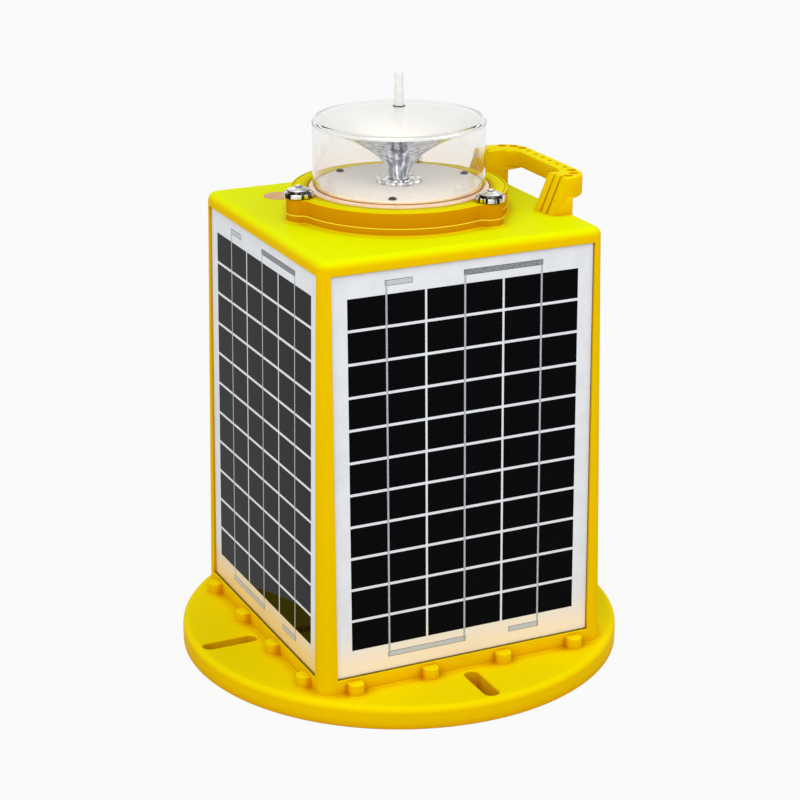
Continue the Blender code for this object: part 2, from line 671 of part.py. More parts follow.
def make_panels(parts, tools, surfaces):
    """On each face, a glass laminate in its pocket and the grooved sheet of cells let into it."""
    field_low = CELL_MARGIN_BELOW - PANEL_HEIGHT / 2
    field_middle = field_low + CELL_FIELD_HEIGHT / 2
    row_pitch = (CELL_FIELD_HEIGHT + CELL_ROW_GROOVE) / CELL_ROWS
    string_pitch = (CELL_FIELD_WIDTH + CELL_STRING_GROOVE) / CELL_STRINGS
    for face, side in enumerate(FACES):
        laminate = block(f"panel_{side}", (PANEL_WIDTH, PANEL_HEIGHT, PANEL_THICKNESS),
                         (0.0, 0.0, -PANEL_THICKNESS / 2), parts)
        tray = block(f"cell_tray_{side}", (CELL_FIELD_WIDTH + 2 * GAP, CELL_FIELD_HEIGHT + 2 * GAP,
                                           2 * (CELL_SHEET_THICKNESS + GAP)),
                     (0.0, field_middle, 0.0), tools)
        boolean(laminate, tray, "DIFFERENCE", "cell tray")
        finish(laminate, surfaces["backsheet"])
        laminate.matrix_world = face_placing(face)

        cells = block(f"cells_{side}", (CELL_FIELD_WIDTH, CELL_FIELD_HEIGHT, CELL_SHEET_THICKNESS),
                      (0.0, field_middle, -CELL_SHEET_THICKNESS / 2), parts)
        rows = [block("row_groove", (CELL_FIELD_WIDTH + OVERRUN, CELL_ROW_GROOVE, 2 * CELL_GROOVE_DEPTH),
                      (0.0, field_low + row * row_pitch - CELL_ROW_GROOVE / 2, 0.0), tools)
                for row in range(1, CELL_ROWS)]
        strings = [block("string_groove", (CELL_STRING_GROOVE, CELL_FIELD_HEIGHT + OVERRUN, 2 * CELL_GROOVE_DEPTH),
                         (string * string_pitch - (CELL_FIELD_WIDTH + CELL_STRING_GROOVE) / 2, field_middle, 0.0),
                         tools)
                   for string in range(1, CELL_STRINGS)]
        boolean(cells, joined(f"row_grooves_{side}", rows, tools), "DIFFERENCE", "rows")
        boolean(cells, joined(f"string_grooves_{side}", strings, tools), "DIFFERENCE", "strings")
        finish(cells, surfaces["cells"])
        cells.matrix_world = face_placing(face)


def make_lamp_base(parts, tools, surface):
    """The lugged ring that carries the lens: a rebate for the lens foot round a spigot for the board."""
    holes = [circle(place, BOLT_RADIUS + SCREW_CLEARANCE, BOLT_SEGMENTS) for place in bolt_places()]
    bore = circle((0.0, 0.0), LAMP_BORE_RADIUS, LENS_SEGMENTS)
    base = plate("lamp_base", [head_outline(), bore] + holes, LAMP_BASE_BOTTOM, LAMP_BASE_TOP, parts)
    rebate_floor = LENS_FOOT_BOTTOM - GAP - SEAL_THICKNESS - GAP
    outer = LENS_FOOT_RADIUS + REBATE_FIT
    rebate = turned("lens_rebate", [(SPIGOT_RADIUS, LAMP_BASE_TOP + OVERRUN), (outer, LAMP_BASE_TOP + OVERRUN),
                                    (outer, rebate_floor), (SPIGOT_RADIUS, rebate_floor)],
                    LENS_SEGMENTS, tools, closed=True)
    spigot_low = (LAMP_BASE_BOTTOM + rebate_floor) / 2
    spigot = turned("spigot_form", [(LAMP_BORE_RADIUS, SPIGOT_TOP), (SPIGOT_RADIUS, SPIGOT_TOP),
                                    (SPIGOT_RADIUS, spigot_low), (LAMP_BORE_RADIUS, spigot_low)],
                    LENS_SEGMENTS, tools, closed=True)
    boolean(base, rebate, "DIFFERENCE", "lens rebate")
    boolean(base, spigot, "UNION", "spigot")
    bores = [plate("bore", [circle(place, BOARD_SCREW_RADIUS + SCREW_CLEARANCE, BOARD_SCREW_SEGMENTS)],
                   BOARD_TOP - BOARD_SCREW_LENGTH - SCREW_TIP_GAP, SPIGOT_TOP + OVERRUN, tools)
             for place in board_screw_places()]
    boolean(base, joined("board_screw_bores", bores, tools), "DIFFERENCE", "board screw bores")
    return finish(base, surface)


def make_lens(parts, surfaces):
    """The clear drum lens with its shallow domed top and bonded foot, and the soft seal under the foot."""
    inner = LENS_RADIUS - LENS_WALL

    def dome(radius, top):
        return top + LENS_DOME_RISE * (1 - (radius / LENS_RADIUS) ** 2)

    edge = LENS_RADIUS - LENS_EDGE_ROUND
    shares = [step / LENS_DOME_STEPS for step in range(LENS_DOME_STEPS + 1)]
    profile = [(edge * share, dome(edge * share, LENS_RIM_TOP)) for share in shares]
    profile += arc((edge, dome(edge, LENS_RIM_TOP) - LENS_EDGE_ROUND), LENS_EDGE_ROUND, pi / 2, 0.0,
                   LENS_EDGE_STEPS)[1:]
    fillet = arc((LENS_RADIUS + LENS_FOOT_FILLET, LENS_FOOT_TOP + LENS_FOOT_FILLET), LENS_FOOT_FILLET,
                 pi, 3 * pi / 2, LENS_FILLET_STEPS)
    profile += fillet + [(LENS_FOOT_RADIUS, LENS_FOOT_TOP), (LENS_FOOT_RADIUS, LENS_FOOT_BOTTOM),
                         (inner, LENS_FOOT_BOTTOM)]
    ceiling = LENS_RIM_TOP - LENS_WALL
    profile += [(inner, dome(inner, ceiling) - LENS_WALL / 2)]
    profile += [((inner - LENS_WALL / 2) * share, dome((inner - LENS_WALL / 2) * share, ceiling))
                for share in reversed(shares)]
    finish(turned("lens_cover", profile, LENS_SEGMENTS, parts), surfaces["clear"])

    seal_top = LENS_FOOT_BOTTOM - GAP
    seal = turned("lens_seal", [(inner, seal_top), (LENS_FOOT_RADIUS, seal_top),
                                (LENS_FOOT_RADIUS, seal_top - SEAL_THICKNESS), (inner, seal_top - SEAL_THICKNESS)],
                  LENS_SEGMENTS, parts, closed=True)
    finish(seal, surfaces["seal"])


def make_lamp(parts, surfaces):
    """LED board with its screws, scalloped LED ring and trumpet reflector."""
    holes = [circle(place, BOARD_SCREW_RADIUS + SCREW_CLEARANCE, BOARD_SCREW_SEGMENTS)
             for place in board_screw_places()]
    board = plate("led_board", [circle((0.0, 0.0), BOARD_RADIUS, LENS_SEGMENTS)] + holes, BOARD_BOTTOM, BOARD_TOP,
                  parts)
    finish(board, surfaces["board"])

    head_low = BOARD_TOP + GAP
    head_top = head_low + BOARD_SCREW_HEAD_HEIGHT
    tip = head_low - BOARD_SCREW_LENGTH
    profile = [(0.0, head_top), (BOARD_SCREW_HEAD_RADIUS * BOARD_SCREW_CROWN_SHARE, head_top),
               (BOARD_SCREW_HEAD_RADIUS, head_top - BOARD_SCREW_HEAD_HEIGHT / 2), (BOARD_SCREW_HEAD_RADIUS, head_low),
               (BOARD_SCREW_RADIUS, head_low), (BOARD_SCREW_RADIUS, tip), (0.0, tip)]
    for number, (x, y) in enumerate(board_screw_places(), 1):
        screw = finish(turned(f"board_screw_{number}", profile, BOARD_SCREW_SEGMENTS, parts), surfaces["black"])
        screw.location = (x, y, 0.0)

    foot = BOARD_TOP + GAP
    steps = [step / REFLECTOR_STEPS for step in range(REFLECTOR_STEPS + 1)]

    def trumpet(share):
        return REFLECTOR_FOOT_RADIUS + (REFLECTOR_RADIUS - REFLECTOR_FOOT_RADIUS) * share ** REFLECTOR_CURVE

    bowl = [(trumpet(share) - REFLECTOR_SHELL, foot + REFLECTOR_HEIGHT * share + REFLECTOR_SHELL * (1 - share))
            for share in steps if share >= REFLECTOR_BOWL_SHARE]
    outside = [(trumpet(share), foot + REFLECTOR_HEIGHT * share) for share in reversed(steps)]
    profile = [(0.0, bowl[0][1])] + bowl + outside + [(0.0, foot)]
    finish(turned("reflector", profile, REFLECTOR_SEGMENTS, parts), surfaces["chrome"], REFLECTOR_SHARP_ANGLE)

    outline = []
    for step in range(LED_RING_SEGMENTS):
        angle = tau * step / LED_RING_SEGMENTS
        radius = LED_RING_RADIUS - LED_RING_LOBE_DEPTH * (1 - abs(cos(angle * LED_RING_LOBES / 2)))
        outline.append((radius * cos(angle), radius * sin(angle)))
    hole = circle((0.0, 0.0), trumpet(LED_RING_HEIGHT / REFLECTOR_HEIGHT) + LED_RING_FIT,
                  LED_RING_HOLE_SEGMENTS)
    ring = plate("led_ring", [outline, hole], foot, foot + LED_RING_HEIGHT, parts)
    finish(ring, surfaces["chrome"])


def make_clamp_bolts(parts, tools, surfaces):
    """At each lug, a bolt with a low conical cap and a button on top, on a broad washer."""
    head_low = NUT_BOTTOM
    cap_low = head_low + NUT_HEIGHT
    cone_top = cap_low + CAP_RIM + CAP_CONE_HEIGHT
    top = cone_top + BUTTON_HEIGHT
    cap = [(0.0, top), (BUTTON_RADIUS - BUTTON_ROUND, top), (BUTTON_RADIUS, top - BUTTON_ROUND),
           (BUTTON_RADIUS, cone_top), (CAP_RADIUS, cap_low + CAP_RIM), (CAP_RADIUS, cap_low)]
    washer_profile = [(BOLT_RADIUS + SCREW_CLEARANCE, WASHER_BOTTOM + WASHER_THICKNESS),
                      (WASHER_RADIUS - WASHER_CHAMFER, WASHER_BOTTOM + WASHER_THICKNESS),
                      (WASHER_RADIUS, WASHER_BOTTOM + WASHER_THICKNESS - WASHER_CHAMFER),
                      (WASHER_RADIUS, WASHER_BOTTOM), (BOLT_RADIUS + SCREW_CLEARANCE, WASHER_BOTTOM)]
    for number, (x, y) in enumerate(bolt_places(), 1):
        washer = finish(turned(f"washer_{number}", washer_profile, WASHER_SEGMENTS, parts, closed=True),
                        surfaces["chrome"])
        washer.location = (x, y, 0.0)

        tip = WASHER_BOTTOM - BOLT_DEPTH
        profile = cap + [(BOLT_RADIUS, cap_low), (BOLT_RADIUS, tip), (0.0, tip)]
        bolt = turned(f"cap_bolt_{number}", profile, CAP_SEGMENTS, parts)
        hexagon = plate(f"nut_form_{number}", [circle((0.0, 0.0), NUT_CORNER_RADIUS, NUT_SIDES)], head_low,
                        cap_low + CAP_RIM / 2, tools)
        hexagon.location = (x, y, 0.0)
        bolt.location = (x, y, 0.0)
        boolean(bolt, hexagon, "UNION", "hexagon")
        finish(bolt, surfaces["chrome"])


def make_spike(parts, surface):
    """The bird spike on the middle of the dome."""
    low = LENS_APEX + GAP
    top = low + SPIKE_LENGTH
    profile = [(0.0, top), (SPIKE_TIP_RADIUS - SPIKE_TIP_ROUND, top), (SPIKE_TIP_RADIUS, top - SPIKE_TIP_ROUND),
               (SPIKE_FOOT_RADIUS, low), (0.0, low)]
    finish(turned("bird_spike", profile, SPIKE_SEGMENTS, parts), surface)


def make_sensor(parts, surface):
    """The light sensor's round window, let flush into the roof."""
    low = BODY_TOP - SENSOR_THICKNESS
    window = plate("light_sensor", [circle(sensor_place(), SENSOR_RADIUS, SENSOR_SEGMENTS)], low, BODY_TOP, parts)
    finish(window, surface)


def flipped(outline):
    """An outline's mirror image across Y = 0, for the other arm, running the same way round."""
    return [(x, -y) for x, y in reversed(outline)]


def tip_outline(foot, inner, end):
    """What is cut away before one arm's tip: a slanting front with a tooth for each groove between ridges."""
    def front(y):
        return foot + (y - inner) / (end - inner) * HANDLE_TIP_SLANT

    back = foot - HANDLE_FOOT_LENGTH
    outline = [(back, inner - OVERRUN), (front(inner - OVERRUN), inner - OVERRUN)]
    for groove in range(1, TIP_GROOVES + 1):
        middle = inner + (end - inner) * groove / (TIP_GROOVES + 1)
        low = middle - TIP_GROOVE_WIDTH / 2
        high = middle + TIP_GROOVE_WIDTH / 2
        outline += [(front(low), low), (front(low) + TIP_GROOVE_DEPTH, low),
                    (front(high) + TIP_GROOVE_DEPTH, high), (front(high), high)]
    return outline + [(front(end + OVERRUN), end + OVERRUN), (back, end + OVERRUN)]


def recess_rings(centre_line, bend):
    """Blind recesses in the top: small ones along the grip and larger ones round each bend of the arms."""
    first = -(GRIP_RECESS_COUNT - 1) / 2 * GRIP_RECESS_PITCH
    rings = [circle((centre_line, first + index * GRIP_RECESS_PITCH), GRIP_RECESS_RADIUS, RECESS_SEGMENTS)
             for index in range(GRIP_RECESS_COUNT)]
    for index in range(BEND_RECESS_COUNT):
        turn = BEND_RECESS_SWEEP * index / (BEND_RECESS_COUNT - 1)
        x = bend[0] + (centre_line - bend[0]) * cos(turn)
        y = bend[1] + (centre_line - bend[0]) * sin(turn)
        rings += [circle((x, y), BEND_RECESS_RADIUS, RECESS_SEGMENTS),
                  circle((x, -y), BEND_RECESS_RADIUS, RECESS_SEGMENTS)]
    return rings


def make_handle(parts, tools, surface):
    """A bow handle, C-shaped from above: a grip outside the wall and two arms with ridged feet on the roof.

    The bow's underside sweeps out over the wall in a cove, and each arm ends in a leaning, grooved tip.
    The rear arm is the longer one. The handle is shaped about its own middle and moved along the edge of
    the roof at the end.
    """
    low = BODY_TOP + GAP
    top = BODY_TOP + HANDLE_HEIGHT
    ceiling = BODY_TOP + HANDLE_OPENING_HEIGHT
    bow_low = ceiling - HANDLE_COVE_HEIGHT
    wall = PANEL_TOP_REACH + FRAME_PROUD
    outer = wall + HANDLE_OVERHANG
    grip = outer - HANDLE_GRIP_WIDTH
    heel = wall - HANDLE_FOOT_INSET
    front_foot = heel - HANDLE_FOOT_LENGTH
    rear_foot = front_foot - HANDLE_REAR_EXTRA
    end = HANDLE_HALF_LENGTH
    inner = end - HANDLE_ARM_WIDTH

    bend = (outer - HANDLE_OUTER_ROUND, end - HANDLE_OUTER_ROUND)

    def arm(foot):
        inside = arc((grip - HANDLE_INNER_ROUND, inner - HANDLE_INNER_ROUND), HANDLE_INNER_ROUND, pi / 2, 0.0,
                     HANDLE_ROUND_SEGMENTS)
        outside = arc(bend, HANDLE_OUTER_ROUND, 0.0, pi / 2, HANDLE_ROUND_SEGMENTS)
        return outside + [(foot, end), (foot, inner)] + inside

    handle = plate("handle", [arm(rear_foot) + flipped(arm(front_foot))], bow_low, top, parts)
    round_rim(handle, top, HANDLE_EDGE_ROUND, HANDLE_EDGE_STEPS,
              lambda place: place.x > (rear_foot if place.y > 0 else front_foot) + MERGE_DISTANCE)

    opening = block("hand_opening", (2 * (outer - rear_foot), 2 * inner, 2 * HANDLE_COVE_HEIGHT),
                    (outer, 0.0, bow_low), tools)
    boolean(handle, opening, "DIFFERENCE", "hand opening")

    cove = [(heel + (outer - heel) * sin(step / HANDLE_COVE_STEPS * pi / 2),
             ceiling - HANDLE_COVE_HEIGHT * cos(step / HANDLE_COVE_STEPS * pi / 2))
            for step in range(HANDLE_COVE_STEPS + 1)]
    relief = plate("outer_relief", [[(heel, bow_low - OVERRUN)] + cove + [(outer + OVERRUN, ceiling),
                                                                          (outer + OVERRUN, bow_low - OVERRUN)]],
                   -end - OVERRUN, end + OVERRUN, tools)
    relief.data.transform(Matrix.Rotation(pi / 2, 4, "X"))
    boolean(handle, relief, "DIFFERENCE", "outer relief")

    back = arc((heel - HANDLE_FOOT_ROUND, inner + HANDLE_FOOT_ROUND), HANDLE_FOOT_ROUND, -pi / 2, 0.0,
               HANDLE_ROUND_SEGMENTS)
    back += arc((heel - HANDLE_FOOT_EDGE_ROUND, end - HANDLE_FOOT_EDGE_ROUND), HANDLE_FOOT_EDGE_ROUND,
                0.0, pi / 2, HANDLE_EDGE_STEPS)
    rear_leg, front_leg = ([(foot, inner)] + back + [(foot, end)] for foot in (rear_foot, front_foot))
    legs = plate("handle_legs", [rear_leg, flipped(front_leg)], low, bow_low + HANDLE_COVE_HEIGHT / 2, tools)
    boolean(handle, legs, "UNION", "legs")

    tips = plate("tip_slopes", [tip_outline(rear_foot, inner, end), flipped(tip_outline(front_foot, inner, end))],
                 BODY_TOP - OVERRUN, top + OVERRUN, tools)
    lean = HANDLE_TIP_LEAN / HANDLE_HEIGHT
    tips.data.transform(Matrix(((1.0, 0.0, lean, -lean * BODY_TOP), (0.0, 1.0, 0.0, 0.0),
                                (0.0, 0.0, 1.0, 0.0), (0.0, 0.0, 0.0, 1.0))))
    boolean(handle, tips, "DIFFERENCE", "tips")

    recesses = [plate("recess", [ring], top - RECESS_DEPTH, top + OVERRUN, tools)
                for ring in recess_rings((outer + grip) / 2, bend)]
    boolean(handle, joined("recesses", recesses, tools), "DIFFERENCE", "recesses")
    finish(handle, surface)
    handle.location = (0.0, HANDLE_MIDDLE_Y, 0.0)


def build():
    """Make every piece of the lantern."""
    clear_scene()
    parts = collection("solar_marine_lantern")
    tools = collection("cutters")
    surfaces = {
        "housing": material("yellow_polyethylene", (0.90, 0.70, 0.0), 0.35),
        "gasket": material("black_rubber", (0.015, 0.015, 0.016), 0.8),
        "seal": material("peach_silicone", (0.86, 0.45, 0.24), 0.5),
        "steel": material("stainless_steel", (0.62, 0.62, 0.60), 0.3, metallic=1.0),
        "battery": material("battery_case", (0.05, 0.055, 0.06), 0.5),
        "backsheet": material("panel_glass_on_white", (0.75, 0.77, 0.80), 0.08),
        "cells": material("silicon_cells", (0.006, 0.007, 0.012), 0.12),
        "clear": material("clear_polycarbonate", (0.95, 0.95, 0.95), 0.03, transmission=1.0),
        "board": material("white_board", (0.86, 0.87, 0.88), 0.4),
        "black": material("black_screw", (0.01, 0.01, 0.01), 0.4),
        "chrome": material("chrome", (0.80, 0.80, 0.82), 0.08, metallic=1.0),
        "spike": material("milky_plastic", (0.85, 0.86, 0.83), 0.4),
        "sensor": material("sensor_window", (0.72, 0.48, 0.36), 0.2),
    }
    make_housing(parts, tools, surfaces["housing"])
    make_bottom(parts, surfaces)
    make_panels(parts, tools, surfaces)
    make_lamp_base(parts, tools, surfaces["housing"])
    make_lens(parts, surfaces)
    make_lamp(parts, surfaces)
    make_clamp_bolts(parts, tools, surfaces)
    make_spike(parts, surfaces["spike"])
    make_sensor(parts, surfaces["sensor"])
    make_handle(parts, tools, surfaces["housing"])
    for tool in tools.objects:
        hide_tool(tool)


build()
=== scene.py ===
# %% [markdown]
# A solar marine lantern, dressed for its photograph.
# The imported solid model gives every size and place. This script loads it as a fixed frame and then
# lays fine surfaces and real finishes over it, one piece at a time. Sizes are in millimetres until a
# mesh or a node takes them in metres; only the camera and the lamps are placed in metres. +Z is up,
# the front solar panel faces -Y and the handle stands on the +X edge of the roof.

import bmesh
import bpy
import numpy as np
from mathutils import Matrix, Vector


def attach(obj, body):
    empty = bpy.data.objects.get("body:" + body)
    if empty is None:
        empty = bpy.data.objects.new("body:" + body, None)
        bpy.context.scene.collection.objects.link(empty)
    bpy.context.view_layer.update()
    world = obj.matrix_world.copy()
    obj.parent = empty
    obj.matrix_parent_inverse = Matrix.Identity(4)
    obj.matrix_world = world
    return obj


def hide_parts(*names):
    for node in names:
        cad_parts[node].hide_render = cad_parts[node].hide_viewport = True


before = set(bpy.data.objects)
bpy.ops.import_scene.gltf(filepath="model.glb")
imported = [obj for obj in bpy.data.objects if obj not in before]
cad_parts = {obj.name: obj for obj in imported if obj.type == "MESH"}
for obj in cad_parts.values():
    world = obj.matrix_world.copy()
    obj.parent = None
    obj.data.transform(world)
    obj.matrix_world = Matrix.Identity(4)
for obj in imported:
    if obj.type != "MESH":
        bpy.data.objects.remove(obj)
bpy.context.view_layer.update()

MM = 0.001  # metres in a millimetre
join = np.concatenate
print("nodes in the frame:", len(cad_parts))

# %% [markdown]
# Camera. A photograph is matched first by its viewpoint, since every later comparison depends on it.
# The place and the direction below come from fitting the known grid of solar cells to the picture,
# with the middle of the picture as the camera's axis and no shift.

# %% Camera
CAMERA_PLACE = (-0.8325, -1.7737, 0.9357)
CAMERA_FORWARD = (0.40032, 0.85187, -0.33773)
CAMERA_LENS = 101.2


def placed(name, data):
    """A new object with its data, linked into the scene."""
    item = bpy.data.objects.new(name, data)
    bpy.context.scene.collection.objects.link(item)
    return item


def place_camera(place, forward, lens):
    """A camera at a place: its -Z axis runs forward and its X axis is level."""
    forward = Vector(forward).normalized()
    right = forward.cross(Vector((0.0, 0.0, 1.0))).normalized()
    above = right.cross(forward)
    view = bpy.data.cameras.new("camera")
    view.lens = lens
    view.sensor_width = 36.0
    camera = placed("camera", view)
    turn = Matrix((right, above, -forward)).transposed()
    camera.matrix_world = Matrix.Translation(place) @ turn.to_4x4()
    bpy.context.scene.camera = camera
    return camera


camera = place_camera(CAMERA_PLACE, CAMERA_FORWARD, CAMERA_LENS)
print("camera at", tuple(round(x, 3) for x in camera.location))

# %% [markdown]
# Materials are node trees. One helper adds any node with its settings and links, and short ones on
# top of it give what finishes need again and again: a place, noise, a ramp, a blend and a bump. Hex
# colours, as a painter's chart gives them, become the linear light that the renderer works in.

# %% Material helpers
def linear(colour):
    """An sRGB hex colour as linear RGBA: c / 12.92 below 0.04045, else ((c + 0.055) / 1.055) ** 2.4."""
    channels = np.array([int(colour[i:i + 2], 16) for i in (1, 3, 5)]) / 255.0
    light = np.where(channels <= 0.04045, channels / 12.92, ((channels + 0.055) / 1.055) ** 2.4)
    return (*light.tolist(), 1.0)


def add(tree, kind, settings=None, inputs=None):
    """Add a node with its settings; an input is a value, or another node's output socket to link."""
    node = tree.nodes.new(kind)
    for name, value in (settings or {}).items():
        setattr(node, name, value)
    for name, value in (inputs or {}).items():
        if isinstance(value, bpy.types.NodeSocket):
            tree.links.new(value, node.inputs[name])
        else:
            node.inputs[name].default_value = value
    return node


def finish(name, **sockets):
    """A Principled material: each socket is named with underscores for spaces."""
    made = bpy.data.materials.new(name)
    made.use_nodes = True
    shader = made.node_tree.nodes["Principled BSDF"]
    for socket, value in sockets.items():
        shader.inputs[socket.replace("_", " ")].default_value = value
    return made, made.node_tree, shader


def object_place(tree):
    """The place on the object, which nodes know in metres."""
    return add(tree, "ShaderNodeTexCoord").outputs["Object"]


def axis(tree, vector, letter):
    """One axis of a vector."""
    return add(tree, "ShaderNodeSeparateXYZ", inputs={"Vector": vector}).outputs[letter]


def maths(tree, operation, first, second):
    """An operation on two numbers, such as their product."""
    return add(tree, "ShaderNodeMath", {"operation": operation}, {0: first, 1: second}).outputs["Value"]


def noise(tree, place, scale, detail, distortion=0.0):
    """Noise between 0 and 1 over a place, with so many clouds per unit of it."""
    inputs = {"Vector": place, "Scale": scale, "Detail": detail, "Distortion": distortion}
    return add(tree, "ShaderNodeTexNoise", inputs=inputs).outputs["Fac"]


def ramp(tree, value, start, end, low=0.0, high=1.0, kind="SMOOTHSTEP"):
    """A number that goes from low to high while the value goes from start to end."""
    inputs = {"Value": value, "From Min": start, "From Max": end, "To Min": low, "To Max": high}
    return add(tree, "ShaderNodeMapRange", {"interpolation_type": kind}, inputs).outputs["Result"]


def blend(tree, share, first, second):
    """The colour at a share of the way between two; each is a hex tone or another node's output."""
    first, second = (linear(tone) if isinstance(tone, str) else tone for tone in (first, second))
    inputs = {"Factor": share, "A": first, "B": second}
    return add(tree, "ShaderNodeMix", {"data_type": "RGBA"}, inputs).outputs["Result"]


def bumped(tree, shader, height, strength, relief):
    """Raise a finish by a height from 0 to 1, which stands for so much relief."""
    inputs = {"Height": height, "Strength": strength, "Distance": relief * MM}
    bump = add(tree, "ShaderNodeBump", inputs=inputs)
    tree.links.new(bump.outputs["Normal"], shader.inputs["Normal"])


def mottled(parts, low, high, grain, relief=0.0, stretch=(1.0, 1.0, 1.0)):
    """Give a finish its grain: noise of the grain's size goes from the low tone to the high one, and with
    a relief it raises the surface by that much. A stretch above 1 makes the grains finer along an axis."""
    made, tree, shader = parts
    axes = add(tree, "ShaderNodeMapping", inputs={"Vector": object_place(tree), "Scale": stretch})
    cloud = noise(tree, axes.outputs["Vector"], 1.0 / (grain * MM), 3.0)
    tone = blend(tree, ramp(tree, cloud, 0.3, 0.7, kind="LINEAR"), low, high)
    tree.links.new(tone, shader.inputs["Base Color"])
    if relief:
        bumped(tree, shader, cloud, 0.5, relief)
    return made


def by_height(tree, start, end, kind="SMOOTHSTEP"):
    """A share that goes from 0 to 1 between two heights."""
    return ramp(tree, axis(tree, object_place(tree), "Z"), start * MM, end * MM, kind=kind)


def toned(made, share, tone):
    """Let a mottled finish turn to another tone where the share is 1."""
    tree = made.node_tree
    base = tree.nodes["Principled BSDF"].inputs["Base Color"]
    tree.links.new(blend(tree, share, base.links[0].from_socket, tone), base)
    return made


def mixed_surface(tree, share, first, second, output="Material Output"):
    """Show a mix of two shaders, the second one where the share is 1."""
    both = add(tree, "ShaderNodeMixShader", inputs={0: share, 1: first, 2: second})
    tree.links.new(both.outputs["Shader"], tree.nodes[output].inputs["Surface"])


# %% [markdown]
# Yellow polyethylene. The housing and handle are moulded in one colour right through, so there is
# no paint to chip. Over that colour lies painted light: a face that looks up is painted lemon, one
# that looks sideways a warmer amber, by a mix on how far the surface faces up, and lower parts a
# warmer yellow by their height. Hollows are painted orange from ambient occlusion, a painted shade.
# The mould leaves a dull skin with a fine orange peel, which only shows in how the highlights break
# up, so it is a bump from noise.

# %% Yellow polyethylene
PEEL_GRAIN = 1.5
# Heights of the painted falloff from the lower warm yellow to lemon, and the reach of the painted shade in
# hollows.
PAINTED_FALLOFF_HEIGHT = 40.0
PAINTED_SHADE_REACH = 16.0


def yellow_with_painted_light(kind, above, below, side_shade_tone, hollow):
    """Satin moulded plastic with painted light: the colour goes from the side tone, a painted side
    shade, to above with the normal's Z, and above itself from below to above with the height, a painted
    falloff; where ambient occlusion finds a hollow, the hollow tone is painted in as shade. Fine noise
    drives the bump, broad noise the roughness."""
    made, tree, shader = finish(f"{kind}_yellow_with_painted_light", IOR=1.5, Specular_IOR_Level=0.006,
                                Specular_Tint=linear("#FFE600"))
    place = object_place(tree)
    normal = add(tree, "ShaderNodeNewGeometry").outputs["Normal"]
    # Painted light: faces that look up take the lemon tone, faces that look sideways the amber painted side
    # shade.
    painted_top_light_share = ramp(tree, axis(tree, normal, "Z"), -0.1, 1.0)
    # Painted light: lower parts take a warmer yellow, a painted falloff of the light downwards.
    height = by_height(tree, PAINTED_FALLOFF_HEIGHT, 1.5 * PAINTED_FALLOFF_HEIGHT, "LINEAR")
    both = blend(tree, painted_top_light_share, side_shade_tone, blend(tree, height, below, above))
    # Painted shade: hollows found by ambient occlusion take the orange tone.
    crevice_occlusion = add(tree, "ShaderNodeAmbientOcclusion", {"samples": 8}, {"Distance": PAINTED_SHADE_REACH * MM})
    share_outside_painted_shade = ramp(tree, crevice_occlusion.outputs["AO"], 0.25, 0.9)
    tree.links.new(blend(tree, share_outside_painted_shade, hollow, both), shader.inputs["Base Color"])
    bumped(tree, shader, noise(tree, place, 1.0 / (PEEL_GRAIN * MM), 2.0), 0.08, 0.2)
    dull = ramp(tree, noise(tree, place, 18.0, 3.0), 0.0, 1.0, 0.38, 0.52, "LINEAR")
    tree.links.new(dull, shader.inputs["Roughness"])
    return made


# The housing's yellow: a dull, waxy skin, painted lemon on top and amber at the sides as painted light, and
# orange in its hollows as painted shade.
polyethylene = yellow_with_painted_light("moulded", "#E8F200", "#F8E000", "#EDC000", "#D08400")
# The handle: a second moulding in the same plastic, with its own painted light: a warmer painted top, amber
# painted side shade and a lighter painted shade in its hollows.
handle_polyethylene = yellow_with_painted_light("handle", "#F6E200", "#F6E200", "#ECBC00", "#DCA400")
# The parting line of the lamp base: a thin bead painted pale yellow all over, a painted highlight.
highlight_polyethylene = yellow_with_painted_light("parting_line_painted_highlight", "#FBE63C", "#FBE63C", "#FBE63C", "#F6DA30")
# The lamp base and its pad: the same plastic with deeper painted shade, darker amber on their sides and in
# their hollows.
side_shaded_polyethylene = yellow_with_painted_light("moulded_painted_deep_shade", "#F0E400", "#F0E400", "#D08C00", "#B86E00")
print("finishes:", polyethylene.name, side_shaded_polyethylene.name)

# %% [markdown]
# Surfaces from arrays. Every piece below is a grid of points worked out as one numpy array, so a
# form is a formula of two parameters. The grid's quads join each point to its neighbours, the
# points that meet at a pole or a seam are welded, and the faces are turned to point outwards.

# %% Grid helpers
def grid_quads(rows, columns, ring):
    """Corner numbers of a grid's quads, row by row; a ring joins its last column to its first."""
    row = np.arange(rows - 1)[:, None]
    column = np.arange(columns if ring else columns - 1)[None, :]
    after = (column + 1) % columns
    return np.stack([row * columns + column, row * columns + after, (row + 1) * columns + after,
                     (row + 1) * columns + column], axis=-1).reshape(-1, 4)


def many(grids, ring):
    """The points and quads of several grids of one size: (count, rows, columns, 3)."""
    count, rows, columns = grids.shape[:3]
    quads = grid_quads(rows, columns, ring)
    quads = quads[None] + (np.arange(count) * rows * columns)[:, None, None]
    return grids.reshape(-1, 3), quads.reshape(-1, 4)


def mesh_of(name, form):
    """A welded mesh in metres, its faces outwards, from a form in millimetres: points with quads, or one
    grid of points whose columns make a ring."""
    points, quads = form if isinstance(form, tuple) else (form, grid_quads(*form.shape[:2], True))
    mesh = bpy.data.meshes.new(name)
    mesh.from_pydata((points.reshape(-1, 3) * MM).tolist(), [], quads.tolist())
    shape = bmesh.new()
    shape.from_mesh(mesh)
    bmesh.ops.remove_doubles(shape, verts=shape.verts, dist=0.002 * MM)
    bmesh.ops.recalc_face_normals(shape, faces=shape.faces)
    shape.to_mesh(mesh)
    shape.free()
    return mesh


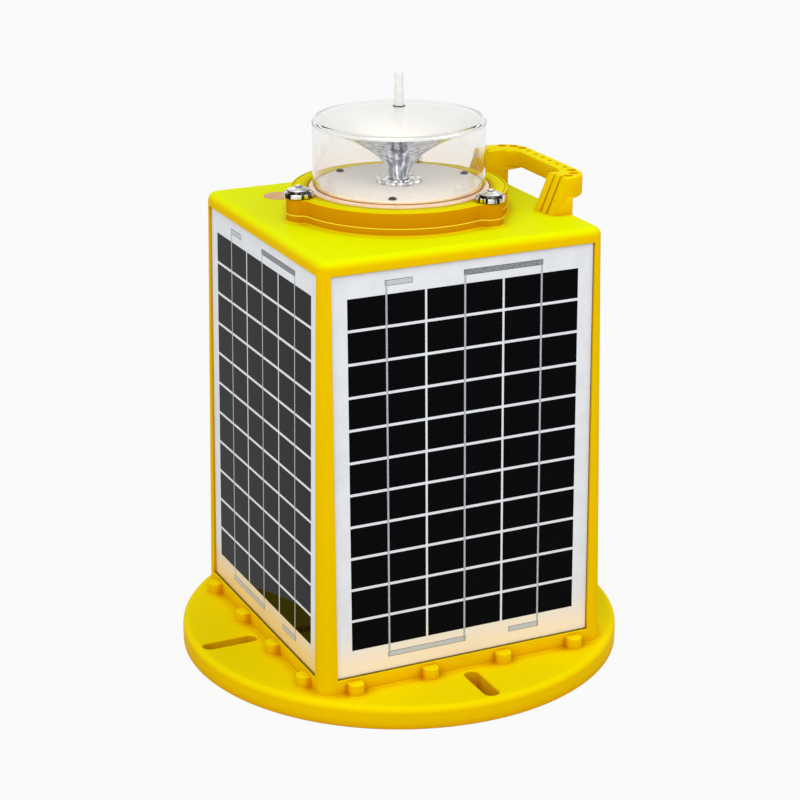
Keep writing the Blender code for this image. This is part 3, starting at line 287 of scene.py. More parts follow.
def dress(name, form, surface, replaced=(), sharp=0.6):
    """Show a form or a mesh as a piece that rides on the lantern: its finish, what it
    replaces, and the angle from which an edge stays sharp."""
    mesh = form if isinstance(form, bpy.types.Mesh) else mesh_of(name, form)
    piece = placed(name, mesh)
    mesh.materials.clear()
    mesh.materials.append(surface)
    mesh.shade_smooth()
    mesh.set_sharp_from_angle(angle=sharp)
    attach(piece, "root")
    if replaced:
        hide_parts(*replaced)
    print(f"{name}: {len(mesh.polygons)} faces")


def eased(table, steps=7):
    """A profile from rows of (r, z, rounding): each corner P becomes the curve (1-t)^2 A + 2t(1-t) P +
    t^2 B, where A and B lie the rounding's length before and after it."""
    table = np.asarray(table, float)
    corners, size = table[:, :2], table[:, 2:]
    before = np.roll(corners, 1, axis=0) - corners
    after = np.roll(corners, -1, axis=0) - corners
    start = corners + before / np.linalg.norm(before, axis=1, keepdims=True) * size
    end = corners + after / np.linalg.norm(after, axis=1, keepdims=True) * size
    t = np.linspace(0.0, 1.0, steps)[None, :, None]
    curve = (1 - t) ** 2 * start[:, None] + 2 * t * (1 - t) * corners[:, None] + t ** 2 * end[:, None]
    return curve.reshape(-1, 2)


def arc_profile(centre, radius, start, end, steps=7):
    """Points on an arc, its angles in degrees."""
    a = np.radians(np.linspace(start, end, steps))
    return np.stack([centre[0] + radius * np.cos(a), centre[1] + radius * np.sin(a)], axis=-1)


def polar(radius, angle, level):
    """Points (r cos a, r sin a, z) from a radius, an angle and a level of matching shapes."""
    radius, angle, level = np.broadcast_arrays(radius, angle, level)
    return np.stack([radius * np.cos(angle), radius * np.sin(angle), level], axis=-1)


def around(radius, angle):
    """Places on a circle at the given angles."""
    return radius * np.stack([np.cos(angle), np.sin(angle)], axis=-1)


def turned(profile, steps=128, centre=(0.0, 0.0)):
    """A turned surface: the point (r, z) of the profile at angle a lies at (r cos a, r sin a, z)."""
    radius, height = np.asarray(profile, float).T[:, :, None]
    angle = np.linspace(0.0, 2 * np.pi, steps, endpoint=False)
    return polar(radius, angle, height) + [*centre, 0.0]


def closed(profile):
    """A profile that ends where it starts."""
    return join([profile, profile[:1]])


def spun(x, y, turn):
    """Points turned about the lantern's axis: (x cos t - y sin t, x sin t + y cos t)."""
    return x * np.cos(turn) - y * np.sin(turn), x * np.sin(turn) + y * np.cos(turn)


def baked(item):
    """The mesh that an object's modifiers give; the object itself goes."""
    graph = bpy.context.evaluated_depsgraph_get()
    made = bpy.data.meshes.new_from_object(item.evaluated_get(graph), depsgraph=graph)
    bpy.data.objects.remove(item)
    return made


QUARTERS = np.arange(4) * np.pi / 2

# %% [markdown]
# Housing. It is one hollow moulding: a round flange, a tapered square body with a frame round each
# solar panel, and a flat roof. One grid makes the outside: its rows run from the middle of the
# underside over the flange, up the walls and in over the roof, and its columns run round the four
# sides. A panel's pocket is a depth taken off the wall, with a small round lip.

# %% Sizes of the housing
FLANGE_RADIUS = 206.0
FLANGE_TOP = 21.0
FLANGE_EDGE_ROUND = 6.5
PANEL_HALF_WIDTH = 125.3
PANEL_LOW = 34.9
PANEL_HIGH = 402.7
PANEL_TOP_REACH = 132.85
PANEL_DRAFT = 5.8
FRAME_PROUD = 2.6
BODY_TOP = 415.8
BODY_CORNER = 11.0
ROOF_EDGE_ROUND = 7.5
POCKET_GAP = 0.3
POCKET_DEPTH = 3.4
LIP_ROUND = 0.6
FOOT_FILLET = 0.8


def panel_reach(height):
    """Distance of a panel's glass from the lantern's axis: it falls evenly with the height."""
    return PANEL_TOP_REACH + (PANEL_HIGH - height) * PANEL_DRAFT / (PANEL_HIGH - PANEL_LOW)


def quarter_turns(across, out, height):
    """Copy one side's points to all four sides: side k is the front one turned k quarter turns."""
    x, y = spun(across, -out, QUARTERS[:, None, None])
    z = np.broadcast_to(height, x.shape)
    return join(list(np.stack([x, y, z], axis=-1)), axis=1)


# %% Walls of the housing
def lip(edge, sign):
    """Places and depths over a pocket's lip: a quarter circle of the lip's radius, then straight down."""
    angle = np.linspace(0.0, np.pi / 2, 6)
    place = edge + sign * LIP_ROUND * (1 - np.sin(angle))
    depth = LIP_ROUND * (1 - np.cos(angle))
    return np.append(place, edge - sign * 0.02), np.append(depth, POCKET_DEPTH)


def wall_rows():
    """Height, outset and pocket depth of each row of the walls, from the foot fillet to the roof edge."""
    a = np.linspace(np.pi / 2, 0.0, 6)
    foot_z, foot_out = FLANGE_TOP + FOOT_FILLET * (1 - np.sin(a)), FOOT_FILLET * (1 - np.cos(a))
    low_z, low_depth = lip(PANEL_LOW - POCKET_GAP, -1.0)
    high_z, high_depth = lip(PANEL_HIGH + POCKET_GAP, 1.0)
    b = np.linspace(0.0, np.pi / 2, 11)
    roof_z = BODY_TOP - ROOF_EDGE_ROUND + ROOF_EDGE_ROUND * np.sin(b)
    roof_out = -ROOF_EDGE_ROUND * (1 - np.cos(b))
    middle = np.linspace(PANEL_LOW, PANEL_HIGH, 9)[1:-1]
    height = join([foot_z, low_z, middle, high_z[::-1], roof_z])
    outset = join([foot_out, np.zeros(len(low_z) + len(middle) + len(high_z)), roof_out])
    depth = join([0 * foot_z, low_depth, np.full(len(middle), POCKET_DEPTH), high_depth[::-1], 0 * roof_z])
    return height, outset, depth


def side_points(reach, corner, row_depth):
    """One side's points for rows of given reach: flat columns with the pocket's depth, squeezed where the
    roof's edge has drawn the flat in, then half of each corner: across = reach - corner + corner sin a,
    out = reach - corner + corner cos a."""
    flat, flat_depth = lip(PANEL_HALF_WIDTH + POCKET_GAP, 1.0)
    inside = np.linspace(-PANEL_HALF_WIDTH, PANEL_HALF_WIDTH, 33)[1:-1]
    across = join([-flat, inside, flat[::-1]])
    depth = join([flat_depth, np.full(len(inside), POCKET_DEPTH), flat_depth[::-1]])
    reach, corner = reach[:, None], corner[:, None]
    start = reach - corner
    squeeze = np.minimum(1.0, (start + 0.4 * corner) / flat[0])
    across = across[None] * squeeze
    past = np.clip(np.abs(across) - start, 0.0, corner)
    out = start + np.sqrt(corner ** 2 - past ** 2) - np.minimum(depth[None], row_depth[:, None])
    edge = flat[0] * squeeze + 0.03
    first = np.arcsin(np.clip((edge - start) / corner, 0.0, 0.7))
    angle = first + (np.pi / 4 - first) * np.linspace(0.0, 1.0, 8)[None]
    corner_across, corner_out = start + corner * np.sin(angle), start + corner * np.cos(angle)
    across = join([-corner_across[:, ::-1], across, corner_across], axis=1)
    return across, join([corner_out[:, ::-1], out, corner_out], axis=1)


def housing_points():
    """The whole outside: underside and flange rows as circles at each column's own angle, then the walls,
    then the roof, whose rows shrink towards the axis."""
    height, outset, depth = wall_rows()
    across, out = side_points(panel_reach(height) + FRAME_PROUD + outset, BODY_CORNER + outset, depth)
    walls = quarter_turns(across, out, height[:, None])
    foot, roof = walls[0], walls[-1]
    edge = arc_profile((FLANGE_RADIUS - FLANGE_EDGE_ROUND, FLANGE_TOP - FLANGE_EDGE_ROUND),
                       FLANGE_EDGE_ROUND, 0, 90, 9)
    under = [[0, 0], [60, 0], [130, 0], [FLANGE_RADIUS - 1.0, 0], [FLANGE_RADIUS, 1.0]]
    radius, level = join([under, edge]).T[:, :, None]
    rim = polar(radius, np.arctan2(foot[:, 1], foot[:, 0]), level)
    share = np.linspace(0.0, 1.0, 6)[1:-1, None, None]
    top = (1 - share) * rim[-1] + share * foot
    inward = np.array([0.97, 0.8, 0.5, 0.2, 0.0])[:, None, None] * [1.0, 1.0, 0.0]
    closing = roof[None] * inward + [0.0, 0.0, BODY_TOP]
    return join([rim, top, walls, closing])


outside = housing_points()
housing_mesh = mesh_of("housing_skin", outside)
print("housing skin:", outside.shape[0], "rows by", outside.shape[1], "columns")

# %% [markdown]
# Slots and recess. The bolt slots and the pocket for the bottom cover break the grid, so Boolean
# modifiers cut them. Each slot's cutter flares at its mouth, which leaves a moulded hole's soft edge.

# %% Cut the slots and the bottom recess
SLOT_INNER = 147.0
SLOT_OUTER = 199.0
SLOT_WIDTH = 14.0
SLOT_LIP = 1.2
CUTTER_PAST = 3.0
COVER_RECESS_HALF = 154.1
COVER_RECESS_CORNER = 52.6
COVER_RECESS_DEPTH = 10.5
COVER_NOTCH_HALF = 16.6
COVER_NOTCH_FLOOR = 137.4


def slot_cutters():
    """Four slot prisms: a capsule outline whose radius grows by the lip's quarter circle near each mouth,
    and two end rows, the outer of which shrinks to a point."""
    t = np.linspace(0.0, 2 * np.pi, 48, endpoint=False)
    length = SLOT_OUTER - SLOT_INNER - SLOT_WIDTH
    spine = np.where(np.cos(t) > 0, length / 2, -length / 2)
    a = np.linspace(0.0, np.pi / 2, 6)
    climb = SLOT_LIP * np.sin(a)
    level = join([[-CUTTER_PAST] * 2, climb, FLANGE_TOP - climb[::-1], [FLANGE_TOP + CUTTER_PAST] * 2])
    grow = join([[SLOT_LIP] * 2, SLOT_LIP - climb, SLOT_LIP - climb[::-1], [SLOT_LIP] * 2])
    radius = (SLOT_WIDTH / 2 + grow)[:, None]
    keep = np.ones(len(level))[:, None]
    keep[[0, -1]] = 0.0
    along = (SLOT_INNER + SLOT_OUTER) / 2 + keep * (spine + radius * np.cos(t))
    x, y = spun(along, keep * radius * np.sin(t), QUARTERS[:, None, None])
    return many(np.stack([x, y, np.broadcast_to(level[:, None], x.shape)], axis=-1), True)


def prism(outline, low, high):
    """A closed prism: the outline at two heights, closed by rows that run in to its middle."""
    flat = np.asarray(outline, float)[None] * np.array([0.0, 1.0, 1.0, 0.0])[:, None, None]
    level = np.broadcast_to(np.array([low, low, high, high])[:, None], flat.shape[:2])
    return join([flat, level[..., None]], axis=-1)


def cut(mesh, form, name):
    """Take a closed form away from a mesh with an exact Boolean and return the result."""
    body = placed("body", mesh)
    cutter = placed("cutter", mesh_of("cutter", form))
    step = body.modifiers.new(name, "BOOLEAN")
    step.operation = "DIFFERENCE"
    step.solver = "EXACT"
    step.object = cutter
    made = baked(body)
    bpy.data.objects.remove(cutter)
    print(name, "cut:", len(made.polygons), "faces")
    return made


def cover_outline():
    """The recess for the bottom cover: a round-cornered square with a notch beside each bolt slot."""
    a = np.linspace(-np.pi / 2, 0.0, 10)
    half, corner = COVER_RECESS_HALF, COVER_RECESS_CORNER
    x = join([[-COVER_NOTCH_HALF, -COVER_NOTCH_HALF, COVER_NOTCH_HALF, COVER_NOTCH_HALF],
              half - corner + corner * np.cos(a)])
    y = join([[-half, -COVER_NOTCH_FLOOR, -COVER_NOTCH_FLOOR, -half], corner - half + corner * np.sin(a)])
    return np.stack(spun(x, y, QUARTERS[:, None]), axis=-1).reshape(-1, 2)


housing_mesh = cut(housing_mesh, slot_cutters(), "bolt slots")
housing_mesh = cut(housing_mesh, prism(cover_outline(), -CUTTER_PAST, COVER_RECESS_DEPTH), "cover recess")
dress("housing_moulding", housing_mesh, polyethylene, ("housing",))

# %% [markdown]
# Screw domes. Sixteen blind domes stand round the foot and take the screws of the bottom cover from
# below. Each is a round nose on a short web. A dome is one grid: its columns follow the U of the
# nose, and its rows climb from a small fillet on the flange to a flat top.

# %% Screw domes
DOME_RADIUS = 7.5
DOME_REACH = 144.5
DOME_TOP = 32.0
DOME_SPACING = 73.2
DOME_WALL = 133.0
DOME_FILLET = 0.8
DOME_EDGE = 1.3


def dome_points():
    """Four domes on each of four sides: a point of the outline is spine + normal x radius(row)."""
    normal = join([[[-1.0, 0.0]], around(1.0, np.linspace(np.pi, 2 * np.pi, 25)), [[1.0, 0.0]]])
    spine_y = join([[-DOME_WALL], np.full(25, -DOME_REACH), [-DOME_WALL]])
    low = (DOME_RADIUS + DOME_FILLET, FLANGE_TOP + DOME_FILLET - 0.05)
    fillet = arc_profile(low, DOME_FILLET, 270, 180, 5)
    edge = arc_profile((DOME_RADIUS - DOME_EDGE, DOME_TOP - DOME_EDGE), DOME_EDGE, 0, 90, 5)
    radius, level = join([fillet, edge, [[0.0, DOME_TOP]]]).T[:, :, None]
    places = (np.arange(4) - 1.5)[:, None, None] * DOME_SPACING
    x, y = normal[:, 0] * radius + places, spine_y + normal[:, 1] * radius
    x, y = spun(x, y, QUARTERS[:, None, None, None])
    grids = np.stack([x, y, np.broadcast_to(level, x.shape)], axis=-1)
    return many(grids.reshape(16, *grids.shape[2:]), False)


dress("screw_domes", dome_points(), polyethylene)

# %% [markdown]
# Lamp pad and lamp base. The lamp head stands on a raised pad of the roof and on a ring above it,
# both with three lugs for the clamp bolts. Half a lug's outline is an arc of the lug, then an arc of
# the fillet, whose centre lies one fillet outside both circles, then the ring. A grid carries a wall
# profile round that outline.

# %% Outline of the lamp head
HEAD_RADIUS = 97.2
LUG_CENTRE = 95.4
LUG_RADIUS = 12.8
LUG_FILLET = 8.0
BOLT_CIRCLE = 97.4
PAD_TOP = 422.5
BASE_LOW = 422.8
BASE_TOP = 437.0
LUG_ANGLES = np.radians([60.0, 180.0, 300.0])
AS_RADIUS = 1000.0


def head_angles():
    """Angles round the head, closer together near each lug."""
    even = np.linspace(0.0, 2 * np.pi, 360, endpoint=False)
    near = (LUG_ANGLES[:, None] + np.radians(np.linspace(-12.0, 12.0, 161))[None]).ravel() % (2 * np.pi)
    return np.unique(np.round(join([even, near]), 6))


def head_reach(angle):
    """Distance to the outline at swing s from a lug, where D, R are the lug's and E, F the fillet's
    centre distance and radius: D cos s + sqrt(R^2 - (D sin s)^2) on the lug, then
    E cos (t - s) - sqrt(F^2 - (E sin (t - s))^2) on the fillet, whose centre is at swing t, then the
    ring."""
    swing = np.abs((angle[:, None] - LUG_ANGLES[None] + np.pi) % (2 * np.pi) - np.pi).min(axis=1)
    apart = HEAD_RADIUS + LUG_FILLET
    reach = LUG_RADIUS + LUG_FILLET
    turn = np.arccos((apart ** 2 + LUG_CENTRE ** 2 - reach ** 2) / (2 * LUG_CENTRE * apart))
    share = LUG_RADIUS / reach
    touch = np.arctan2(share * apart * np.sin(turn), LUG_CENTRE * (1 - share) + share * apart * np.cos(turn))
    inside = np.clip(LUG_RADIUS ** 2 - (LUG_CENTRE * np.sin(swing)) ** 2, 0.0, None)
    lug = LUG_CENTRE * np.cos(swing) + np.sqrt(inside)
    hollow = np.clip(LUG_FILLET ** 2 - (apart * np.sin(turn - swing)) ** 2, 0.0, None)
    fillet = apart * np.cos(turn - swing) - np.sqrt(hollow)
    return np.where(swing < touch, lug, np.where(swing < turn, fillet, HEAD_RADIUS))


def lugged(profile):
    """Carry a profile of (inset from the outline, height) round the head; an inset below -AS_RADIUS
    stands for a plain radius."""
    inset, level = np.asarray(profile, float).T[:, :, None]
    radius = np.where(inset > -AS_RADIUS, head_outline - inset, -inset - AS_RADIUS)
    return polar(radius, head_angle, level)


head_angle = head_angles()
head_outline = head_reach(head_angle)
pad_profile = join([arc_profile((-1.8, BODY_TOP + 1.8), 1.8, 270, 360),
                    arc_profile((0.7, PAD_TOP - 0.7), 0.7, 180, 90, 5), [[10, PAD_TOP], [12, PAD_TOP]]])
pad_profile[0, 1] -= 0.02
dress("lamp_pad", lugged(pad_profile), side_shaded_polyethylene)
bead_profile = arc_profile((0.1, PAD_TOP + 0.15), 0.5, 0, 360, 13)
dress("parting_bead", lugged(bead_profile), highlight_polyethylene)

# %% Lamp base
REBATE_RADIUS = 81.4
REBATE_FLOOR = 432.1
SPIGOT_RADIUS = 74.0
BORE_RADIUS = 60.0
SPIGOT_TOP = 438.7


def at_radius(corners):
    """Mark corners of (radius, height) as plain radii for the profile of the lamp base."""
    radius, level = np.asarray(corners, float).T
    return np.stack([-radius - AS_RADIUS, level], axis=-1)


base_profile = join([
    at_radius([[BORE_RADIUS, BASE_LOW]]),
    arc_profile((0.5, BASE_LOW + 0.5), 0.5, 270, 180, 4),
    arc_profile((1.1, BASE_TOP - 1.1), 1.1, 180, 90),
    [[1.9, BASE_TOP], [2.1, BASE_TOP - 0.6], [2.6, BASE_TOP - 0.6], [2.8, BASE_TOP - 0.1]],
    at_radius([[REBATE_RADIUS + 0.4, BASE_TOP - 0.1], [REBATE_RADIUS, BASE_TOP - 0.5],
               [REBATE_RADIUS, REBATE_FLOOR], [SPIGOT_RADIUS, REBATE_FLOOR], [SPIGOT_RADIUS, SPIGOT_TOP],
               [BORE_RADIUS, SPIGOT_TOP], [BORE_RADIUS, BASE_LOW]])])
dress("lamp_base_ring", lugged(base_profile), side_shaded_polyethylene, ("lamp_base",), 0.9)

# %% [markdown]
# Handle. The solid model already has its ridged feet, its cove and its recesses, so a copy of that
# solid is welded and a Bevel modifier rounds its edges, which is truer than a second model. Its feet
# then reach a little further down, into the rounded edge of the roof.

# %% Handle
HANDLE_EDGE = 0.9
HANDLE_FOOT = 1.3
HANDLE_SINK = 3.0


def rounded_copy(node, width, segments=3, limit=0.6):
    """A welded copy of a CAD node with its sharp edges rounded."""
    shape = bmesh.new()
    shape.from_mesh(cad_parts[node].data)
    bmesh.ops.remove_doubles(shape, verts=shape.verts, dist=0.01 * MM)
    bmesh.ops.dissolve_limit(shape, angle_limit=0.01, verts=shape.verts, edges=shape.edges)
    mesh = bpy.data.meshes.new(node + "_copy")
    shape.to_mesh(mesh)
    shape.free()
    holder = placed("holder", mesh)
    bevel = holder.modifiers.new("round", "BEVEL")
    bevel.width = width * MM
    bevel.segments = segments
    bevel.limit_method = "ANGLE"
    bevel.angle_limit = limit
    bevel.use_clamp_overlap = True
    return baked(holder)


handle_mesh = rounded_copy("handle", HANDLE_EDGE)
places = np.empty(len(handle_mesh.vertices) * 3, np.float32)
handle_mesh.vertices.foreach_get("co", places)
places = places.reshape(-1, 3)
places[places[:, 2] < (BODY_TOP + HANDLE_FOOT) * MM, 2] -= HANDLE_SINK * MM
handle_mesh.vertices.foreach_set("co", places.ravel())
dress("carrying_handle", handle_mesh, handle_polyethylene, ("handle",), 0.7)
print("lowest point of the handle, mm:", round(float(places[:, 2].min()) / MM, 2))

# %% [markdown]
# Solar panels. Each is a laminate: glass in front, cells and metal ribbons sealed in clear film, and
# a white sheet behind. Real glass would only darken the cells with noise, so every layer under it
# carries a glossy coat as smooth as the glass. Solar glass is etched against reflections, so the
# coat's index is far below plain glass's 1.5. The layers lie so close that they read as one surface.

# %% Panel finishes
ANTI_REFLECTIVE = 1.11
# Heights between which the painted bounce light fades up from the panel's foot.
BOUNCE_PAINT_TOP = 82.0
BOUNCE_PAINT_FOOT = 36.0
FINGER_PITCH = 2.2


def under_glass(kind, roughness, metallic=0.0):
    """Something sealed under the panel's glass: its own dull surface below a smooth clear coat."""
    return finish(f"{kind}_under_glass", Roughness=roughness, Metallic=metallic, Coat_Weight=1.0,
                  Coat_Roughness=0.03, Coat_IOR=ANTI_REFLECTIVE, Specular_IOR_Level=0.0)


def backing_film(kind, tone):
    """White film with painted bounce light: it turns to a warm tone over the lowest part of the panel,
    by the height.
    """
    film = mottled(under_glass(kind, 0.5), "#E0E3E7", "#E8EBEF", 14.0)
    # Painted bounce light: the warm tone rises from the panel's foot.
    return toned(film, by_height(film.node_tree, BOUNCE_PAINT_TOP, BOUNCE_PAINT_FOOT), tone)


def cell_silicon():
    """Near-black silicon with fine silver fingers across it: a thin line each pitch along the map's V."""
    made, tree, shader = under_glass("silicon_cells", 0.4)
    place = add(tree, "ShaderNodeUVMap", {"uv_map": "millimetres"}).outputs["UV"]
    wave = maths(tree, "PINGPONG", axis(tree, place, "Y"), FINGER_PITCH / 2)
    faint = maths(tree, "MULTIPLY", ramp(tree, wave, 0.30, 0.12), noise(tree, place, 0.08, 2.0))
    tree.links.new(blend(tree, faint, "#010102", "#101116"), shader.inputs["Base Color"])
    return made


# White backing film seen through the glass: matt, with faint clouds where the clear film has crept.
# The foot of each panel is painted a warm cream, painted bounce light from the yellow flange.
backing_faint_bounce = backing_film("backing_film_painted_bounce", "#FFECD0")
# The same film in the panels that stand in the shade: their foot is painted with more of the flange's
# yellow, a stronger painted bounce light.
backing_strong_bounce = backing_film("backing_film_strong_painted_bounce", "#F9D68E")
# Tinned copper ribbon: dull silver with the grain that hot dipping leaves.
ribbon_silver = mottled(under_glass("tinned_copper_ribbon", 0.4, 0.2),
                        "#A2A5AE", "#BFC2CA", 1.2, 0.05)
# Bus bar: the same tin, laid on thicker and darker, with a coarser grain.
bus_tin = mottled(under_glass("tinned_bus_bar", 0.5, 0.1), "#6A6C71", "#A0A3A8", 1.6, 0.1)
# A sleeved bus or terminal lies in a clear film sleeve, so it is paler.
terminal_silver = mottled(under_glass("sleeved_terminal", 0.45), "#BDC0C4", "#CDD0D4", 1.2)
# The dark line round each bus is the edge of the insulating strip beneath it.
strip_grey = mottled(under_glass("insulating_strip", 0.6), "#505257", "#6A6C71", 2.0)
# Brown strips along the joint between the glass and the housing stand in for the shade in that narrow gap
# and on the ledge below: a painted shadow line.
painted_gap_shadow = mottled(finish("brown_gap_shadow", Roughness=0.7, Specular_IOR_Level=0.2),
                  "#5E4E12", "#8A7220", 3.0, 0.1)
# Monocrystalline silicon is so dark that the glass over it shows only what it mirrors.
silicon = cell_silicon()

# %% Panel layers
CELL_HALF = 110.3
CELL_LOW = 24.6
CELL_FIELD_HEIGHT = 321.9
ROW_GAP = 2.5
STRING_GAP = 2.0
PANEL_HEIGHT = PANEL_HIGH - PANEL_LOW
STRING_PITCH = (2 * CELL_HALF + STRING_GAP) / 3
ROW_PITCH = (CELL_FIELD_HEIGHT + ROW_GAP) / 11
RIBBON_WIDTH = 1.7
BUS_OFFSET = 12.0
BUS_WIDTH = 4.2
TERMINAL_LENGTH = 24.0
LOW_TERMINAL_LENGTH = 29.0
STRIP_MARGIN = 0.45
SEAM = 0.45
SIDES = ("front", "right", "back", "left")
BOX_CORNERS = np.array([[-1, -1, -1], [1, -1, -1], [1, 1, -1], [-1, 1, -1],
                        [-1, -1, 1], [1, -1, 1], [1, 1, 1], [-1, 1, 1]], float)
BOX_QUADS = np.array([[0, 3, 2, 1], [4, 5, 6, 7], [0, 1, 5, 4], [1, 2, 6, 5], [2, 3, 7, 6], [3, 0, 4, 7]])


def on_face(face, across, up, out):
    """Points of a panel in the lantern's frame: across it, up its slope from its lower edge, out of it."""
    lean = np.arctan(PANEL_DRAFT / PANEL_HEIGHT)
    middle = PANEL_LOW + PANEL_HEIGHT / 2
    rise = up - PANEL_HEIGHT / 2
    y = -panel_reach(middle) + rise * np.sin(lean) - out * np.cos(lean)
    z = middle + rise * np.cos(lean) + out * np.sin(lean)
    return np.stack([*spun(across, y, face * np.pi / 2), z], axis=-1)


def box_corners(rectangles):
    """Where the eight corners of a slab lie across and up, for each (across from, to, up from, to)."""
    a0, a1, u0, u1 = np.asarray(rectangles, float).T[:, :, None]
    x, y, _ = BOX_CORNERS.T[:, None, :]
    return (a0 + a1) / 2 + x * (a1 - a0) / 2, (u0 + u1) / 2 + y * (u1 - u0) / 2


def slabs(face, rectangles, low, high):
    """Thin slabs on a panel, one for each rectangle, between two depths."""
    across, up = box_corners(rectangles)
    out = (low + high) / 2 + BOX_CORNERS[:, 2] * (high - low) / 2 + 0 * up
    quads = (BOX_QUADS[None] + 8 * np.arange(len(up))[:, None, None]).reshape(-1, 4)
    return on_face(face, across, up, out).reshape(-1, 3), quads


def cell_rectangles():
    """The three strings of eleven cells."""
    left = -CELL_HALF + np.arange(3) * STRING_PITCH
    low = CELL_LOW + np.arange(11) * ROW_PITCH
    a, u = (grid.ravel() for grid in np.meshgrid(left, low))
    return np.stack([a, a + STRING_PITCH - STRING_GAP, u, u + ROW_PITCH - ROW_GAP], axis=-1)


def cell_mesh(face):
    """The cells of a panel, with a map that holds each corner's place across and up it, in millimetres."""
    points, quads = slabs(face, cell_rectangles(), -0.6, -0.10)
    mesh = bpy.data.meshes.new("cells")
    mesh.from_pydata((points * MM).tolist(), [], quads.tolist())
    place = np.stack(box_corners(cell_rectangles()), axis=-1).reshape(-1, 2)
    uv = mesh.uv_layers.new(name="millimetres")
    uv.data.foreach_set("uv", place[quads.ravel()].astype(np.float32).ravel())
    return mesh


def ribbon_rectangles():
    """A ribbon down the middle of each string and the bare bus above strings 2 and 3; then what lies in a
    clear sleeve: the bus below strings 1 and 2, and the terminals at the free ends of strings 1 and 3."""
    line = -CELL_HALF + (STRING_PITCH - STRING_GAP) / 2 + np.arange(3) * STRING_PITCH
    w = RIBBON_WIDTH / 2
    above, below = CELL_LOW + CELL_FIELD_HEIGHT + BUS_OFFSET, CELL_LOW - BUS_OFFSET
    high, low = (above - BUS_WIDTH, above), (below, below + BUS_WIDTH)
    runs = [(x - w, x + w, below, above) for x in line]
    buses = [(line[1] - w, line[2] + w, *high)]
    sleeved = [(line[0] - w, line[0] + TERMINAL_LENGTH, *high), (line[0] - w, line[1] + w, *low),
               (line[2] - LOW_TERMINAL_LENGTH, line[2] + w, *low)]
    return np.array(runs), np.array(buses), np.array(sleeved)


def gap_shadow_form(face):
    """Dark strips round a panel that stand in for the shade in its gap, a painted shadow: three thin
    strips level with the glass, and one on the ledge below it.
    """
    half, top, past = PANEL_HALF_WIDTH, PANEL_HEIGHT, 0.2
    strips = [(-half - past, -half + SEAM, 0.0, top), (half - SEAM, half + past, 0.0, top),
              (-half, half, top - SEAM, top + past)]
    points, quads = slabs(face, strips, -2.0, -0.1)
    ledge, more = slabs(face, [(-half, half, -0.25, SEAM)], -2.0, FRAME_PROUD - 1.0)
    return join([points, ledge]), join([quads, more + len(points)])


runs, buses, sleeved = ribbon_rectangles()
strips = join([buses, sleeved]) + np.array([-1.0, 1.0, -1.0, 1.0]) * STRIP_MARGIN
sheet = [(SEAM - PANEL_HALF_WIDTH, PANEL_HALF_WIDTH - SEAM, SEAM, PANEL_HEIGHT - SEAM)]
for face, side in enumerate(SIDES):
    # Painted bounce light: the back and left panels get the stronger warm foot.
    film = backing_faint_bounce if side in ("front", "right") else backing_strong_bounce
    dress(f"panel_backing_{side}", slabs(face, sheet, -5.0, -0.15), film,
          (f"panel_{side}",))
    dress(f"solar_cells_{side}", cell_mesh(face), silicon, (f"cells_{side}",))
    for kind, form, surface in (
            ("insulating_strips", slabs(face, strips, -0.5, -0.11), strip_grey),
            ("cell_ribbons", slabs(face, runs, -0.5, -0.05), ribbon_silver),
            ("bus_bars", slabs(face, buses, -0.5, -0.03), bus_tin),
            # Painted shadow: dark strips in the gap round the glass.
            ("panel_gap_shadow", gap_shadow_form(face), painted_gap_shadow),
            ("terminals", slabs(face, sleeved, -0.5, -0.07), terminal_silver)):
        dress(f"{kind}_{side}", form, surface)

# %% [markdown]
# Lamp head. Under the clear lens lie a white circuit board, a scalloped ring of chromed collimators
# and a trumpet reflector, which turns the light out to the horizon. All are turned forms.

# %% Lamp finishes
WALL_LOW = 438.6
PAINTED_WARMTH_TOP = 478.0


def chrome_with_painted_streaks(name, dark, bright, roughness, wide):
    """Bright plating with darker streaks up the form, painted reflections of a darker surround: noise
    stretched along Z, its clouds so wide.
    """
    made, tree, shader = finish(name, Metallic=1.0, Roughness=roughness)
    fine = 1.0 / (wide * MM)
    inputs = {"Vector": object_place(tree), "Scale": (fine, fine, 0.12 * fine)}
    stretch = add(tree, "ShaderNodeMapping", inputs=inputs)
    # Painted reflection: dark streaks where the mirror would show a darker surround.
    band = ramp(tree, noise(tree, stretch.outputs["Vector"], 1.0, 1.5, 0.4), 0.40, 0.56)
    tree.links.new(blend(tree, band, dark, bright), shader.inputs["Base Color"])
    return made


def painted_rim_shade(made, tone):
    """Painted shade: let a finish turn to a darker tone towards the bowl's rim, by the distance from the
    lantern's axis.
    """
    tree = made.node_tree
    flat = add(tree, "ShaderNodeVectorMath", {"operation": "MULTIPLY"},
               {0: object_place(tree), 1: (1.0, 1.0, 0.0)})
    away = add(tree, "ShaderNodeVectorMath", {"operation": "LENGTH"}, {0: flat.outputs["Vector"]})
    return toned(made, ramp(tree, away.outputs["Value"], 8.0 * MM, 72.0 * MM), tone)


